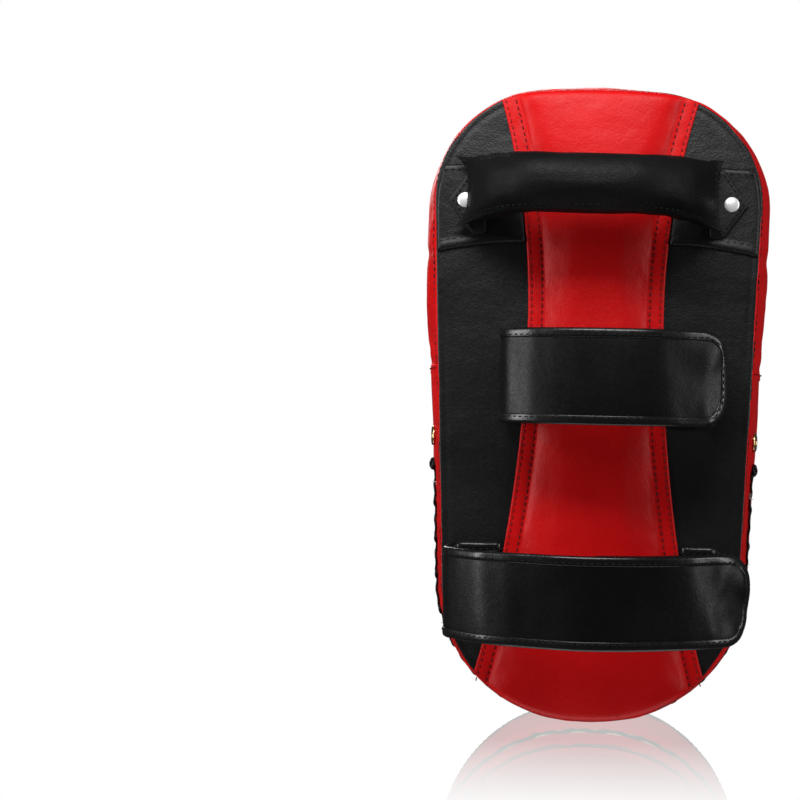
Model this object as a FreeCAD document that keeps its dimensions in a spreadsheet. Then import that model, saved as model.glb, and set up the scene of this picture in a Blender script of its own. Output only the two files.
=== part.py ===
import FreeCAD, Part
import math
import os
import Sketcher

# A thai pad: a curved kick pad that is worn on the forearm.
# X is across the pad, Z along it (handle end up), Y from the straps (-) to the striking face (+).
# The origin is on the outer surface of the back panel, where the forearm lies, at mid height.

Vector = FreeCAD.Vector
doc = FreeCAD.newDocument("thai_pad")
sheet = doc.addObject("Spreadsheet::Sheet", "Sizes")

# Driving dimensions, millimetres and degrees.
SIZES = {
    # outline of the back panel
    "half_width": 92.0,             # at mid height
    "side_taper": 2.2,              # the sides lean outwards towards the handle end
    "half_height": 186.5,
    "top_radius": 480.0,
    "top_corner_radius": 66.0,
    "bottom_corner_radius": 81.0,
    "bottom_radius": 170.0,
    # depth
    "side_flare": 7.0,              # the side walls stand this far outside the back panel
    "flare_depth": 30.0,
    "form_depth": 125.0,
    "face_curve_radius": 660.0,     # the striking face is hollow along its length
    "face_low_height": -20.0,
    "seam_low_depth": 61.7,
    "face_crown": 13.0,             # the face stands this far beyond its seam
    "face_edge_radius": 11.0,
    "leather": 1.8,
    # foam layers
    "back_foam_depth": 16.0,
    "face_foam_below_seam": 9.0,
    # side wall
    "gusset_join_height": 19.0,
    "slit_top_height": -39.0,
    "slit_depth": 22.0,
    "slit_width": 1.6,
    "lace_width": 3.6,
    "lace_thickness": 1.4,
    "vent_height": -20.0,
    "vent_depth": 20.0,
    "vent_flange_radius": 6.0,
    "vent_barrel_radius": 4.0,
    "vent_hole_radius": 3.0,
    "vent_barrel_length": 5.0,
    "washer_clearance": 0.25,
    # forearm band
    "band_half_width": 40.2,        # at its waist
    "band_waist_height": 55.0,
    "band_upper_radius": 435.0,
    "band_lower_radius": 862.0,
    "band_border": 10.5,
    "band_border_height": 1.6,
    "band_height": 7.0,
    "band_edge_radius": 3.0,
    # handle
    "handle_height": 124.0,
    "handle_shift": -4.0,           # the grip is a little left of the middle
    "grip_radius": 16.5,
    "grip_rise": 49.0,              # the grip's centre line from the back panel, at mid span
    "grip_half_span": 73.0,
    "grip_end_rise": 6.0,
    "grip_end_thickness": 5.2,
    "grip_end_half_width": 20.0,
    "grip_leather": 1.8,
    "base_low_height": 95.0,
    "base_top_height": 142.0,
    "base_thickness": 1.6,
    "tab_apex": 89.0,
    "tab_inner": 70.0,
    "tab_half_height": 21.0,
    "tab_height": 119.5,
    "tab_thickness": 1.8,
    "rivet_place": 78.5,
    "rivet_cap_radius": 4.3,
    "rivet_cap_height": 1.3,
    "rivet_shank_radius": 2.0,
    "washer_radius": 5.0,
    "washer_thickness": 1.0,
    # straps
    "strap_thickness": 2.4,
    "strap_corner_radius": 12.0,
    "strap_root_bend": 6.5,
    "strap_end_radius": 17.0,
    "strap_hinge_depth": 20.0,
    "outer_hinge_gap": 2.4,
    "inner_hinge_gap": 1.0,
    "patch_thickness": 1.1,
    "patch_gap": 0.6,
    "patch_margin": 7.0,
    "binding_width": 5.0,
    "binding_thickness": 0.6,
    "upper_strap_width": 53.0,
    "upper_strap_height": 16.0,
    "upper_fold_left": -51.5,
    "upper_fold_right": 68.0,
    "upper_free_end": 75.0,
    "upper_inner_end": -8.0,
    "upper_front": 58.0,            # the front stands this far from the back panel
    "upper_front_radius": 95.0,
    "upper_root": 43.5,
    "lower_strap_width": 51.0,
    "lower_strap_height": -108.0,
    "lower_fold_left": -82.0,
    "lower_fold_right": 76.0,
    "lower_free_end": 90.0,
    "lower_inner_end": -10.0,
    "lower_front": 67.0,
    "lower_front_radius": 120.0,
    "lower_root": 61.5,
}
for row, (alias, value) in enumerate(SIZES.items(), start=1):
    sheet.set(f"A{row}", alias)
    sheet.set(f"B{row}", str(value))
    sheet.setAlias(f"B{row}", alias)
doc.recompute()


def size(alias):
    return float(sheet.get(alias))


# ---------------------------------------------------------------- general helpers

def value_of(expression):
    """The number that an expression on the sheet gives."""
    probe = doc.getObject("Probe") or doc.addObject("App::FeaturePython", "Probe")
    if not hasattr(probe, "Value"):
        probe.addProperty("App::PropertyFloat", "Value")
    probe.setExpression("Value", expression)
    doc.recompute([probe])
    return probe.Value


def body(label):
    made = doc.addObject("PartDesign::Body", label)
    made.Label = label
    return made


def sketch_on(owner, plane, name, offset="0"):
    """A sketch on one of the body's own origin planes; offset is an expression along its normal."""
    sketch = owner.newObject("Sketcher::SketchObject", name)
    origin_plane = next(f for f in owner.Origin.OriginFeatures if f.Role == plane)
    sketch.AttachmentSupport = [(origin_plane, "")]
    sketch.MapMode = "FlatFace"
    sketch.setExpression("AttachmentOffset.Base.z", offset)
    return sketch


def draw(sketch, curves):
    for curve in curves:
        sketch.addGeometry(curve, False)


def polygon(points):
    corners = [Vector(x, y, 0) for x, y in points]
    return [Part.LineSegment(a, b) for a, b in zip(corners, corners[1:] + corners[:1])]


def direction(angle):
    return Vector(math.cos(angle), math.sin(angle), 0)


def arc(centre, radius, start, stop):
    middle = (start + stop) / 2
    return Part.Arc(*[centre + direction(a) * radius for a in (start, middle, stop)])


def extrude(owner, sketch, name, length, kind="PartDesign::Pad", both_ways=False, reverse=False, taper=None):
    feature = owner.newObject(kind, name)
    feature.Profile = sketch
    feature.setExpression("Length", length)
    if both_ways:
        feature.SideType = "Symmetric"
    feature.Reversed = reverse
    if taper:
        feature.setExpression("TaperAngle", taper)
    owner.Tip = feature
    return feature


def boolean(kind, label, first, second):
    made = doc.addObject(f"Part::{kind}", label)
    made.Base = first
    made.Tool = second
    made.Label = label
    return made


def cut(label, first, second):
    return boolean("Cut", label, first, second)


def common(label, first, second):
    return boolean("Common", label, first, second)


def group(label, members):
    made = doc.addObject("Part::Compound", label)
    made.Links = members
    made.Label = label
    return made


def mirrored(label, source):
    """The same piece on the other side of the pad."""
    made = doc.addObject("Part::Mirroring", label)
    made.Source = source
    made.Base = Vector(0, 0, 0)
    made.Normal = Vector(1, 0, 0)
    return made


def box(label, low, high):
    """A block between two corners, each given as three expressions."""
    made = doc.addObject("Part::Box", label)
    for axis, side, near, far in zip("xyz", ("Length", "Width", "Height"), low, high):
        made.setExpression(side, f"({far}) - ({near})")
        made.setExpression(f"Placement.Base.{axis}", near)
    return made


def round_bar(label, radius, length, place, axis):
    """A cylinder that starts at a place and runs along an axis."""
    made = doc.addObject("Part::Cylinder", label)
    made.setExpression("Radius", radius)
    made.setExpression("Height", length)
    made.Placement = FreeCAD.Placement(place, FreeCAD.Rotation(Vector(0, 0, 1), axis))
    return made


def fillet(owner, feature, edges, radius):
    made = owner.newObject("PartDesign::Fillet", feature.Name + "_rounded")
    made.Base = (feature, edges)
    made.setExpression("Radius", radius)
    owner.Tip = made
    return made


def edges_where(feature, test):
    return [f"Edge{i}" for i, edge in enumerate(feature.Shape.Edges, start=1) if test(edge)]


# ---------------------------------------------------------------- outline of the pad

def outline_centres():
    """Centres of the four kinds of arc on the right, which every parallel outline shares."""
    taper = math.radians(size("side_taper"))
    along = Vector(math.sin(taper), math.cos(taper), 0)
    outward = Vector(math.cos(taper), -math.sin(taper), 0)
    side = Vector(size("half_width"), 0, 0)
    top = Vector(0, size("half_height") - size("top_radius"), 0)
    bottom = Vector(0, size("bottom_radius") - size("half_height"), 0)

    def corner(end_centre, end_radius, corner_radius, towards):
        start = side - outward * corner_radius
        offset = start - end_centre
        reach = end_radius - corner_radius
        middle = -offset.dot(along)
        spread = math.sqrt(middle ** 2 - offset.dot(offset) + reach ** 2)
        return start + along * (middle + towards * spread)

    top_corner = corner(top, size("top_radius"), size("top_corner_radius"), 1)
    bottom_corner = corner(bottom, size("bottom_radius"), size("bottom_corner_radius"), -1)
    return top, top_corner, bottom_corner, bottom


def outline_sketch(owner, name, outset, depth):
    """The closed outline, moved outwards by one expression, at a depth given by another."""
    sketch = sketch_on(owner, "XZ_Plane", name, f"-({depth})")
    top, top_corner, bottom_corner, bottom = outline_centres()
    away = value_of(outset)
    side_angle = -math.radians(size("side_taper"))
    top_joint = math.atan2(top_corner.y - top.y, top_corner.x - top.x)
    bottom_joint = math.atan2(bottom_corner.y - bottom.y, bottom_corner.x - bottom.x)
    radius = {key: size(key) + away for key in
              ("top_radius", "top_corner_radius", "bottom_corner_radius", "bottom_radius")}

    def flip(point):
        return Vector(-point.x, point.y, 0)

    side_low = bottom_corner + direction(side_angle) * radius["bottom_corner_radius"]
    side_high = top_corner + direction(side_angle) * radius["top_corner_radius"]
    turn = math.pi
    draw(sketch, [
        Part.LineSegment(side_low, side_high),
        arc(top_corner, radius["top_corner_radius"], side_angle, top_joint),
        arc(top, radius["top_radius"], top_joint, turn - top_joint),
        arc(flip(top_corner), radius["top_corner_radius"], turn - top_joint, turn - side_angle),
        Part.LineSegment(flip(side_high), flip(side_low)),
        arc(flip(bottom_corner), radius["bottom_corner_radius"], turn - side_angle, turn - bottom_joint),
        arc(bottom, radius["bottom_radius"], turn - bottom_joint, 2 * turn + bottom_joint),
        arc(bottom_corner, radius["bottom_corner_radius"], 2 * turn + bottom_joint, 2 * turn + side_angle),
    ])
    right, corner_right, top_arc, corner_left, left, low_left, low_arc, low_right = range(8)
    start, end, centre = 1, 2, 3
    origin, vertical = -1, -2
    for curve in range(8):
        following = (curve + 1) % 8
        sketch.addConstraint(Sketcher.Constraint("Tangent", curve, end, following, start))
    sketch.addConstraint(Sketcher.Constraint("Equal", corner_right, corner_left))
    sketch.addConstraint(Sketcher.Constraint("Equal", low_right, low_left))
    sketch.addConstraint(Sketcher.Constraint("PointOnObject", top_arc, centre, vertical))
    sketch.addConstraint(Sketcher.Constraint("PointOnObject", low_arc, centre, vertical))
    sketch.addConstraint(Sketcher.Constraint("Symmetric", right, start, left, end, vertical))
    bound = [
        (Sketcher.Constraint("Radius", corner_right, radius["top_corner_radius"]),
         f"Sizes.top_corner_radius + {outset}"),
        (Sketcher.Constraint("Radius", top_arc, radius["top_radius"]), f"Sizes.top_radius + {outset}"),
        (Sketcher.Constraint("Radius", low_arc, radius["bottom_radius"]), f"Sizes.bottom_radius + {outset}"),
        (Sketcher.Constraint("Radius", low_right, radius["bottom_corner_radius"]),
         f"Sizes.bottom_corner_radius + {outset}"),
        (Sketcher.Constraint("DistanceY", top_arc, centre, origin, start, -top.y),
         "Sizes.top_radius - Sizes.half_height"),
        (Sketcher.Constraint("DistanceY", low_arc, centre, origin, start, -bottom.y),
         "Sizes.half_height - Sizes.bottom_radius"),
        (Sketcher.Constraint("Angle", right, math.pi / 2 + side_angle), "90 deg - Sizes.side_taper * 1 deg"),
        (Sketcher.Constraint("Distance", origin, start, right,
                             (size("half_width")) * math.cos(side_angle) + away),
         f"Sizes.half_width * cos(Sizes.side_taper * 1 deg) + {outset}"),
    ]
    for constraint, expression in bound:
        index = sketch.addConstraint(constraint)
        sketch.setExpression(f"Constraints[{index}]", expression)
    return sketch


# ---------------------------------------------------------------- padded form

# How far cutting shapes reach past the pad, and what tells its large faces and short edges apart.
PAST_ENDS = 240.0
PAST_FACE = 200.0
PAST_BACK = -20.0
PAST_BAND = 210.0
SMALLEST_FACE_AREA = 40000.0
LONGEST_THICKNESS_EDGE = 9.0


def face_region(owner, name, shift, side_of_face):
    """A side view of all that lies beyond (+1) or behind (-1) a curve parallel to the face."""
    sketch = sketch_on(owner, "YZ_Plane", name)
    radius = size("face_curve_radius") - shift
    centre = Vector(size("seam_low_depth") + size("face_curve_radius"), size("face_low_height"), 0)
    reach = math.asin(PAST_ENDS / radius)
    curve = arc(centre, radius, math.pi - reach, math.pi + reach)
    high, low = curve.StartPoint, curve.EndPoint
    far = PAST_FACE if side_of_face > 0 else PAST_BACK
    draw(sketch, [curve, Part.LineSegment(low, Vector(far, low.y, 0)),
                  Part.LineSegment(Vector(far, low.y, 0), Vector(far, high.y, 0)),
                  Part.LineSegment(Vector(far, high.y, 0), high)])
    return sketch


def padded_form(label, inset, crown, edge_radius):
    """The whole stuffed shape: flared back edge, straight walls and a hollow, round-edged face."""
    form = body(label)
    back = outline_sketch(form, label + "_back", f"(-{inset})", inset)
    flare_length = f"Sizes.flare_depth - {inset}"
    extrude(form, back, label + "_flare", flare_length, reverse=True,
            taper=f"atan(Sizes.side_flare / ({flare_length}))")
    wall = outline_sketch(form, label + "_wall", f"(Sizes.side_flare - {inset})", "Sizes.flare_depth")
    extrude(form, wall, label + "_block", "Sizes.form_depth - Sizes.flare_depth", reverse=True)
    beyond = face_region(form, label + "_beyond", crown, 1)
    hollow = extrude(form, beyond, label + "_face", "300", "PartDesign::Pocket", both_ways=True)
    doc.recompute()
    front = [f"Face{i}" for i, face in enumerate(hollow.Shape.Faces, start=1)
             if isinstance(face.Surface, Part.Cylinder) and face.Area > SMALLEST_FACE_AREA]
    fillet(form, hollow, front, edge_radius)
    return form


def make_padding():
    """Leather shell and foam layers, sliced from an outer and an inner padded form."""
    crown = size("face_crown")
    outer = padded_form("outer_form", "0", crown, "Sizes.face_edge_radius")
    inner = padded_form("inner_form", "Sizes.leather", crown - size("leather"),
                        "Sizes.face_edge_radius - Sizes.leather")
    shell = cut("leather_shell", outer, inner)

    below_seam = body("below_seam")
    seam_view = face_region(below_seam, "seam_view", 0, -1)
    extrude(below_seam, seam_view, "seam_block", "300", both_ways=True)
    below_foam = body("below_face_foam")
    foam_view = face_region(below_foam, "foam_view", -size("face_foam_below_seam"), -1)
    extrude(below_foam, foam_view, "foam_block", "300", both_ways=True)

    wide = "150"
    high = "250"
    back_slab = box("back_slab", (f"-{wide}", "-5", f"-{high}"), (wide, "Sizes.leather", high))
    foam_slab = box("foam_slab", (f"-{wide}", "-5", f"-{high}"), (wide, "Sizes.back_foam_depth", high))
    above_join = box("above_join", (f"-{wide}", "-5", "Sizes.gusset_join_height"), (wide, wide, high))
    slit = box("slit", (f"-{wide}", "Sizes.slit_depth - Sizes.slit_width / 2", f"-{high}"),
               (wide, "Sizes.slit_depth + Sizes.slit_width / 2", "Sizes.slit_top_height"))

    walls = cut("side_walls", common("shell_below_seam", shell, below_seam), back_slab)
    cover = cut("striking_face_cover", shell, below_seam)
    back_panel = common("back_sheet", shell, back_slab)
    upper_gusset = common("upper_gusset", walls, above_join)
    lower_wall = cut("slit_wall", cut("lower_wall", walls, above_join), slit)
    face_foam = cut("face_foam", inner, below_foam)
    back_foam = common("back_foam_block", inner, foam_slab)
    core_foam = cut("core_block", common("inner_below_foam", inner, below_foam), foam_slab)
    return cover, upper_gusset, lower_wall, back_panel, face_foam, core_foam, back_foam


# ---------------------------------------------------------------- side wall fittings

def wall_frame(height, depth):
    """A point on the right side wall, on its flared part, and the outward direction there."""
    taper = math.radians(size("side_taper"))
    flare = math.atan2(size("side_flare"), size("flare_depth"))
    across = size("half_width") + math.tan(taper) * height + math.tan(flare) * depth / math.cos(taper)
    outward = Vector(math.cos(taper) * math.cos(flare), -math.sin(flare), -math.sin(taper) * math.cos(flare))
    return Vector(across, depth, height), outward


def make_vents(lower_wall, core_block, back_foam_block):
    """Brass eyelets through the lower side walls, with a washer behind the leather."""
    place, outward = wall_frame(size("vent_height"), size("vent_depth"))
    inward = outward * -1
    proud = 1.2
    top = place + outward * proud
    under = place + inward * (size("leather") + size("washer_clearance"))

    flange = round_bar("vent_flange", "Sizes.vent_flange_radius", str(proud), place, outward)
    barrel = round_bar("vent_barrel", "Sizes.vent_barrel_radius", "Sizes.vent_barrel_length", place, inward)
    bore = round_bar("vent_bore", "Sizes.vent_hole_radius", "40", top, inward)
    eyelet = cut("vent_eyelet_right", boolean("Fuse", "vent_solid", flange, barrel), bore)
    washer_disc = round_bar("vent_washer_disc", "Sizes.vent_flange_radius + 0.5",
                            "Sizes.washer_thickness", under, inward)
    barrel_hole = round_bar("vent_barrel_hole", "Sizes.vent_barrel_radius", "20", top, inward)
    washer = cut("vent_washer_right", washer_disc, barrel_hole)
    pocket = round_bar("vent_pocket", "Sizes.vent_flange_radius + 1", "Sizes.vent_barrel_length + 3",
                       place, inward)

    eyelets = group("vent_eyelets", [eyelet, mirrored("vent_eyelet_left", eyelet)])
    washers = group("vent_eyelet_washers", [washer, mirrored("vent_washer_left", washer)])
    holes = group("vent_holes", [barrel_hole, mirrored("vent_hole_left", barrel_hole)])
    pockets = group("vent_pockets", [pocket, mirrored("vent_pocket_left", pocket)])
    lower_gusset = cut("lower_gusset", lower_wall, holes)
    core_foam = cut("core_foam", core_block, pockets)
    vented_foam = cut("vented_back_foam", back_foam_block, pockets)
    return eyelets, washers, lower_gusset, core_foam, vented_foam


def make_lace():
    """The flat lace that closes the slit, from one side wall round the bottom to the other."""
    low = "Sizes.slit_depth - Sizes.lace_width / 2"
    out_at_low = f"(Sizes.side_flare / Sizes.flare_depth * ({low}) + 0.1)"
    taper = "atan(Sizes.side_flare / Sizes.flare_depth)"

    def layer(label, extra):
        made = body(label)
        outline = outline_sketch(made, label + "_outline", f"({out_at_low} + {extra})", low)
        extrude(made, outline, label + "_pad", "Sizes.lace_width", reverse=True, taper=taper)
        return made

    ring = cut("lace_ring", layer("lace_outside", "Sizes.lace_thickness"), layer("lace_inside", "0"))
    below = box("lace_region", ("-150", "0", "-250"), ("150", "60", "Sizes.slit_top_height"))
    return common("gusset_lace", ring, below)


# ---------------------------------------------------------------- back of the pad

def band_edges(inset):
    """Right edge of the hourglass band: an upper and a lower arc that meet at its waist."""
    waist = Vector(size("band_half_width") - inset, size("band_waist_height"), 0)
    upper_radius = size("band_upper_radius") + inset
    lower_radius = size("band_lower_radius") + inset
    upper_centre = waist + Vector(upper_radius, 0, 0)
    lower_centre = waist + Vector(lower_radius, 0, 0)
    top = math.asin((PAST_BAND - waist.y) / upper_radius)
    low = math.asin((waist.y + PAST_BAND) / lower_radius)
    return (arc(upper_centre, upper_radius, math.pi - top, math.pi),
            arc(lower_centre, lower_radius, math.pi, math.pi + low))


def hourglass(owner, name, inset):
    """The band's two waisted sides, closed above and below beyond the pad's ends."""
    sketch = sketch_on(owner, "XZ_Plane", name)
    upper, lower = band_edges(inset)
    flipped = [edge.copy() for edge in (upper, lower)]
    for edge in flipped:
        edge.mirror(Vector(0, 0, 0), Vector(0, 1, 0))
    top, low = upper.StartPoint, lower.EndPoint
    draw(sketch, [upper, lower, Part.LineSegment(low, Vector(-low.x, low.y, 0)), *flipped,
                  Part.LineSegment(Vector(-top.x, top.y, 0), top)])
    return sketch


def flat_outline(label, inset, rise):
    """A slab with the pad's outline that stands on the back panel."""
    made = body(label)
    outline = outline_sketch(made, label + "_outline", f"(-{inset})", "0")
    extrude(made, outline, label + "_pad", rise)
    return made


def band_slab(label, inset, rise, edge_radius=None):
    """An hourglass slab on the back panel, clipped by a parallel of the pad's outline."""
    sides = body(label + "_sides")
    extrude(sides, hourglass(sides, label + "_view", inset), label + "_pad", rise)
    clipped = common(label + "_clipped", sides, flat_outline(label + "_clip", str(inset), rise))
    if edge_radius is None:
        return clipped
    doc.recompute()
    height = -value_of(rise)
    rounded = doc.addObject("Part::Fillet", label + "_rounded")
    rounded.Base = clipped
    rounded.Edges = [(i, edge_radius, edge_radius) for i, edge in enumerate(clipped.Shape.Edges, start=1)
                     if all(abs(v.Point.y - height) < 0.01 for v in edge.Vertexes)]
    return rounded


def make_forearm_band():
    """A red leather cover with a flat stitched border, stuffed with a strip of foam."""
    border = size("band_border")
    leather = size("band_border_height")
    radius = size("band_edge_radius")
    flange = band_slab("band_flange", 0.5, "Sizes.band_border_height")
    dome = band_slab("band_dome", border, "Sizes.band_height", radius)
    padding = band_slab("forearm_padding", border + leather, "Sizes.band_height - Sizes.band_border_height",
                        radius - leather)
    padding.Label = "forearm_padding"
    band = cut("forearm_band", boolean("Fuse", "band_solid", flange, dome), padding)
    return band, padding


def make_handle_bases(rivet_bars):
    """The plain leather panels beside the band that carry the handle's ends."""
    plate = flat_outline("base_plate", "1.2", "Sizes.base_thickness")
    strip = box("base_strip", ("-150", "-20", "Sizes.base_low_height"),
                ("150", "20", "Sizes.base_top_height"))
    hole = body("band_hole")
    extrude(hole, hourglass(hole, "band_hole_view", -0.2), "band_hole_pad", "20", both_ways=True)
    pair = cut("base_pair", cut("base_without_band", common("base_clip", plate, strip), hole), rivet_bars)
    left_half = box("left_half", ("-150", "-50", "-250"), ("0", "50", "250"))
    return common("handle_base_left", pair, left_half), cut("handle_base_right", pair, left_half)


def make_handle_tabs(rivet_bars):
    """The pointed ends of the handle, which lie flat on the bases under a rivet each."""
    def tab(label, side):
        made = body(label + "_plate")
        view = sketch_on(made, "XZ_Plane", label + "_view", "Sizes.base_thickness")
        middle = size("tab_height")
        half = size("tab_half_height")
        draw(view, polygon([(side * size("tab_inner"), middle - half),
                            (side * (size("tab_inner") + 5), middle - half),
                            (side * size("tab_apex"), middle),
                            (side * (size("tab_inner") + 5), middle + half),
                            (side * size("tab_inner"), middle + half)]))
        extrude(made, view, label + "_pad", "Sizes.tab_thickness")
        return cut(label, made, rivet_bars)

    return tab("handle_tab_left", -1), tab("handle_tab_right", 1)


def grip_solid(inset):
    """The stuffed grip: ellipses along an arched line, round in the middle and flat at the ends."""
    half_stations = 5
    rings = []
    for station in range(-half_stations, half_stations + 1):
        part_way = station / half_stations
        lift = (1 - part_way ** 4) ** 2
        fullness = lift ** 0.8
        rise = size("grip_end_rise") + (size("grip_rise") - size("grip_end_rise")) * lift
        slope = 8 * part_way ** 3 * (1 - part_way ** 4)
        slope *= (size("grip_rise") - size("grip_end_rise")) / size("grip_half_span")
        half_wide = size("grip_end_half_width")
        half_wide += (size("grip_radius") - half_wide) * fullness
        half_thick = size("grip_end_thickness") / 2
        half_thick += (size("grip_radius") - half_thick) * fullness
        place = Vector(size("handle_shift") + part_way * (size("grip_half_span") - inset), -rise,
                       size("handle_height"))
        ellipse = Part.Ellipse(Vector(0, 0, 0), half_wide - inset, half_thick - inset).toShape()
        upright = FreeCAD.Rotation(Vector(0, 0, 1), Vector(0, -1, 0), Vector(1, 0, 0), "ZXY")
        lean = FreeCAD.Rotation(Vector(0, 0, 1), math.degrees(math.atan(slope * 0.5)))
        ellipse.Placement = FreeCAD.Placement(place, lean.multiply(upright))
        rings.append(Part.Wire(ellipse))
    return Part.makeLoft(rings, True)


def make_grip():
    """Grip cover and its foam core; a loft through a formula's sections, so its shape is set directly.

    The cover is pressed in over the head of the left rivet, which its end partly hides.
    """
    core = doc.addObject("Part::Feature", "handle_grip_core")
    core.Shape = grip_solid(size("grip_leather"))
    core.Label = "handle_grip_core"
    whole = doc.addObject("Part::Feature", "grip_whole")
    whole.Shape = grip_solid(0.0)
    head_top = size("base_thickness") + size("tab_thickness") + size("rivet_cap_height") + 0.1
    head_room = round_bar("grip_head_room", "Sizes.rivet_cap_radius + 0.2", str(head_top),
                          Vector(-size("rivet_place"), 0, size("tab_height")), Vector(0, -1, 0))
    return cut("handle_grip_cover", cut("grip_solid", whole, core), head_room), core


def make_rivets(back_sheet, foam_block):
    """Two rivets through tab, base and back panel, each with a washer and a tail behind."""
    stack = size("base_thickness") + size("tab_thickness")
    behind = size("leather") + size("washer_thickness")
    inward = Vector(0, 1, 0)

    def pair(label, make):
        right = make(label + "_right", size("rivet_place"))
        return group(label, [right, mirrored(label + "_left", right)])

    def rivet(label, across):
        top = Vector(across, -stack, size("tab_height"))
        cap = round_bar(label + "_cap", "Sizes.rivet_cap_radius", "Sizes.rivet_cap_height", top, inward * -1)
        shank = round_bar(label + "_shank", "Sizes.rivet_shank_radius", str(stack + behind), top, inward)
        tail_place = Vector(across, behind, size("tab_height"))
        tail = round_bar(label + "_tail", "Sizes.rivet_shank_radius + 1", "1", tail_place, inward)
        return boolean("Fuse", label, boolean("Fuse", label + "_head", cap, shank), tail)

    def washer(label, across):
        place = Vector(across, size("leather"), size("tab_height"))
        disc = round_bar(label + "_disc", "Sizes.washer_radius", "Sizes.washer_thickness", place, inward)
        return cut(label, disc, bar(label + "_hole", across))

    def bar(label, across):
        place = Vector(across, -30, size("tab_height"))
        return round_bar(label, "Sizes.rivet_shank_radius", "60", place, inward)

    def pocket(label, across):
        place = Vector(across, -1, size("tab_height"))
        return round_bar(label, "Sizes.washer_radius + 1", "8", place, inward)

    bars = pair("rivet_bars", bar)
    back_panel = cut("back_panel", back_sheet, bars)
    back_foam = cut("back_foam", foam_block, pair("rivet_pockets", pocket))
    return pair("handle_rivets", rivet), pair("handle_rivet_washers", washer), back_panel, back_foam, bars


# ---------------------------------------------------------------- straps

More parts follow.
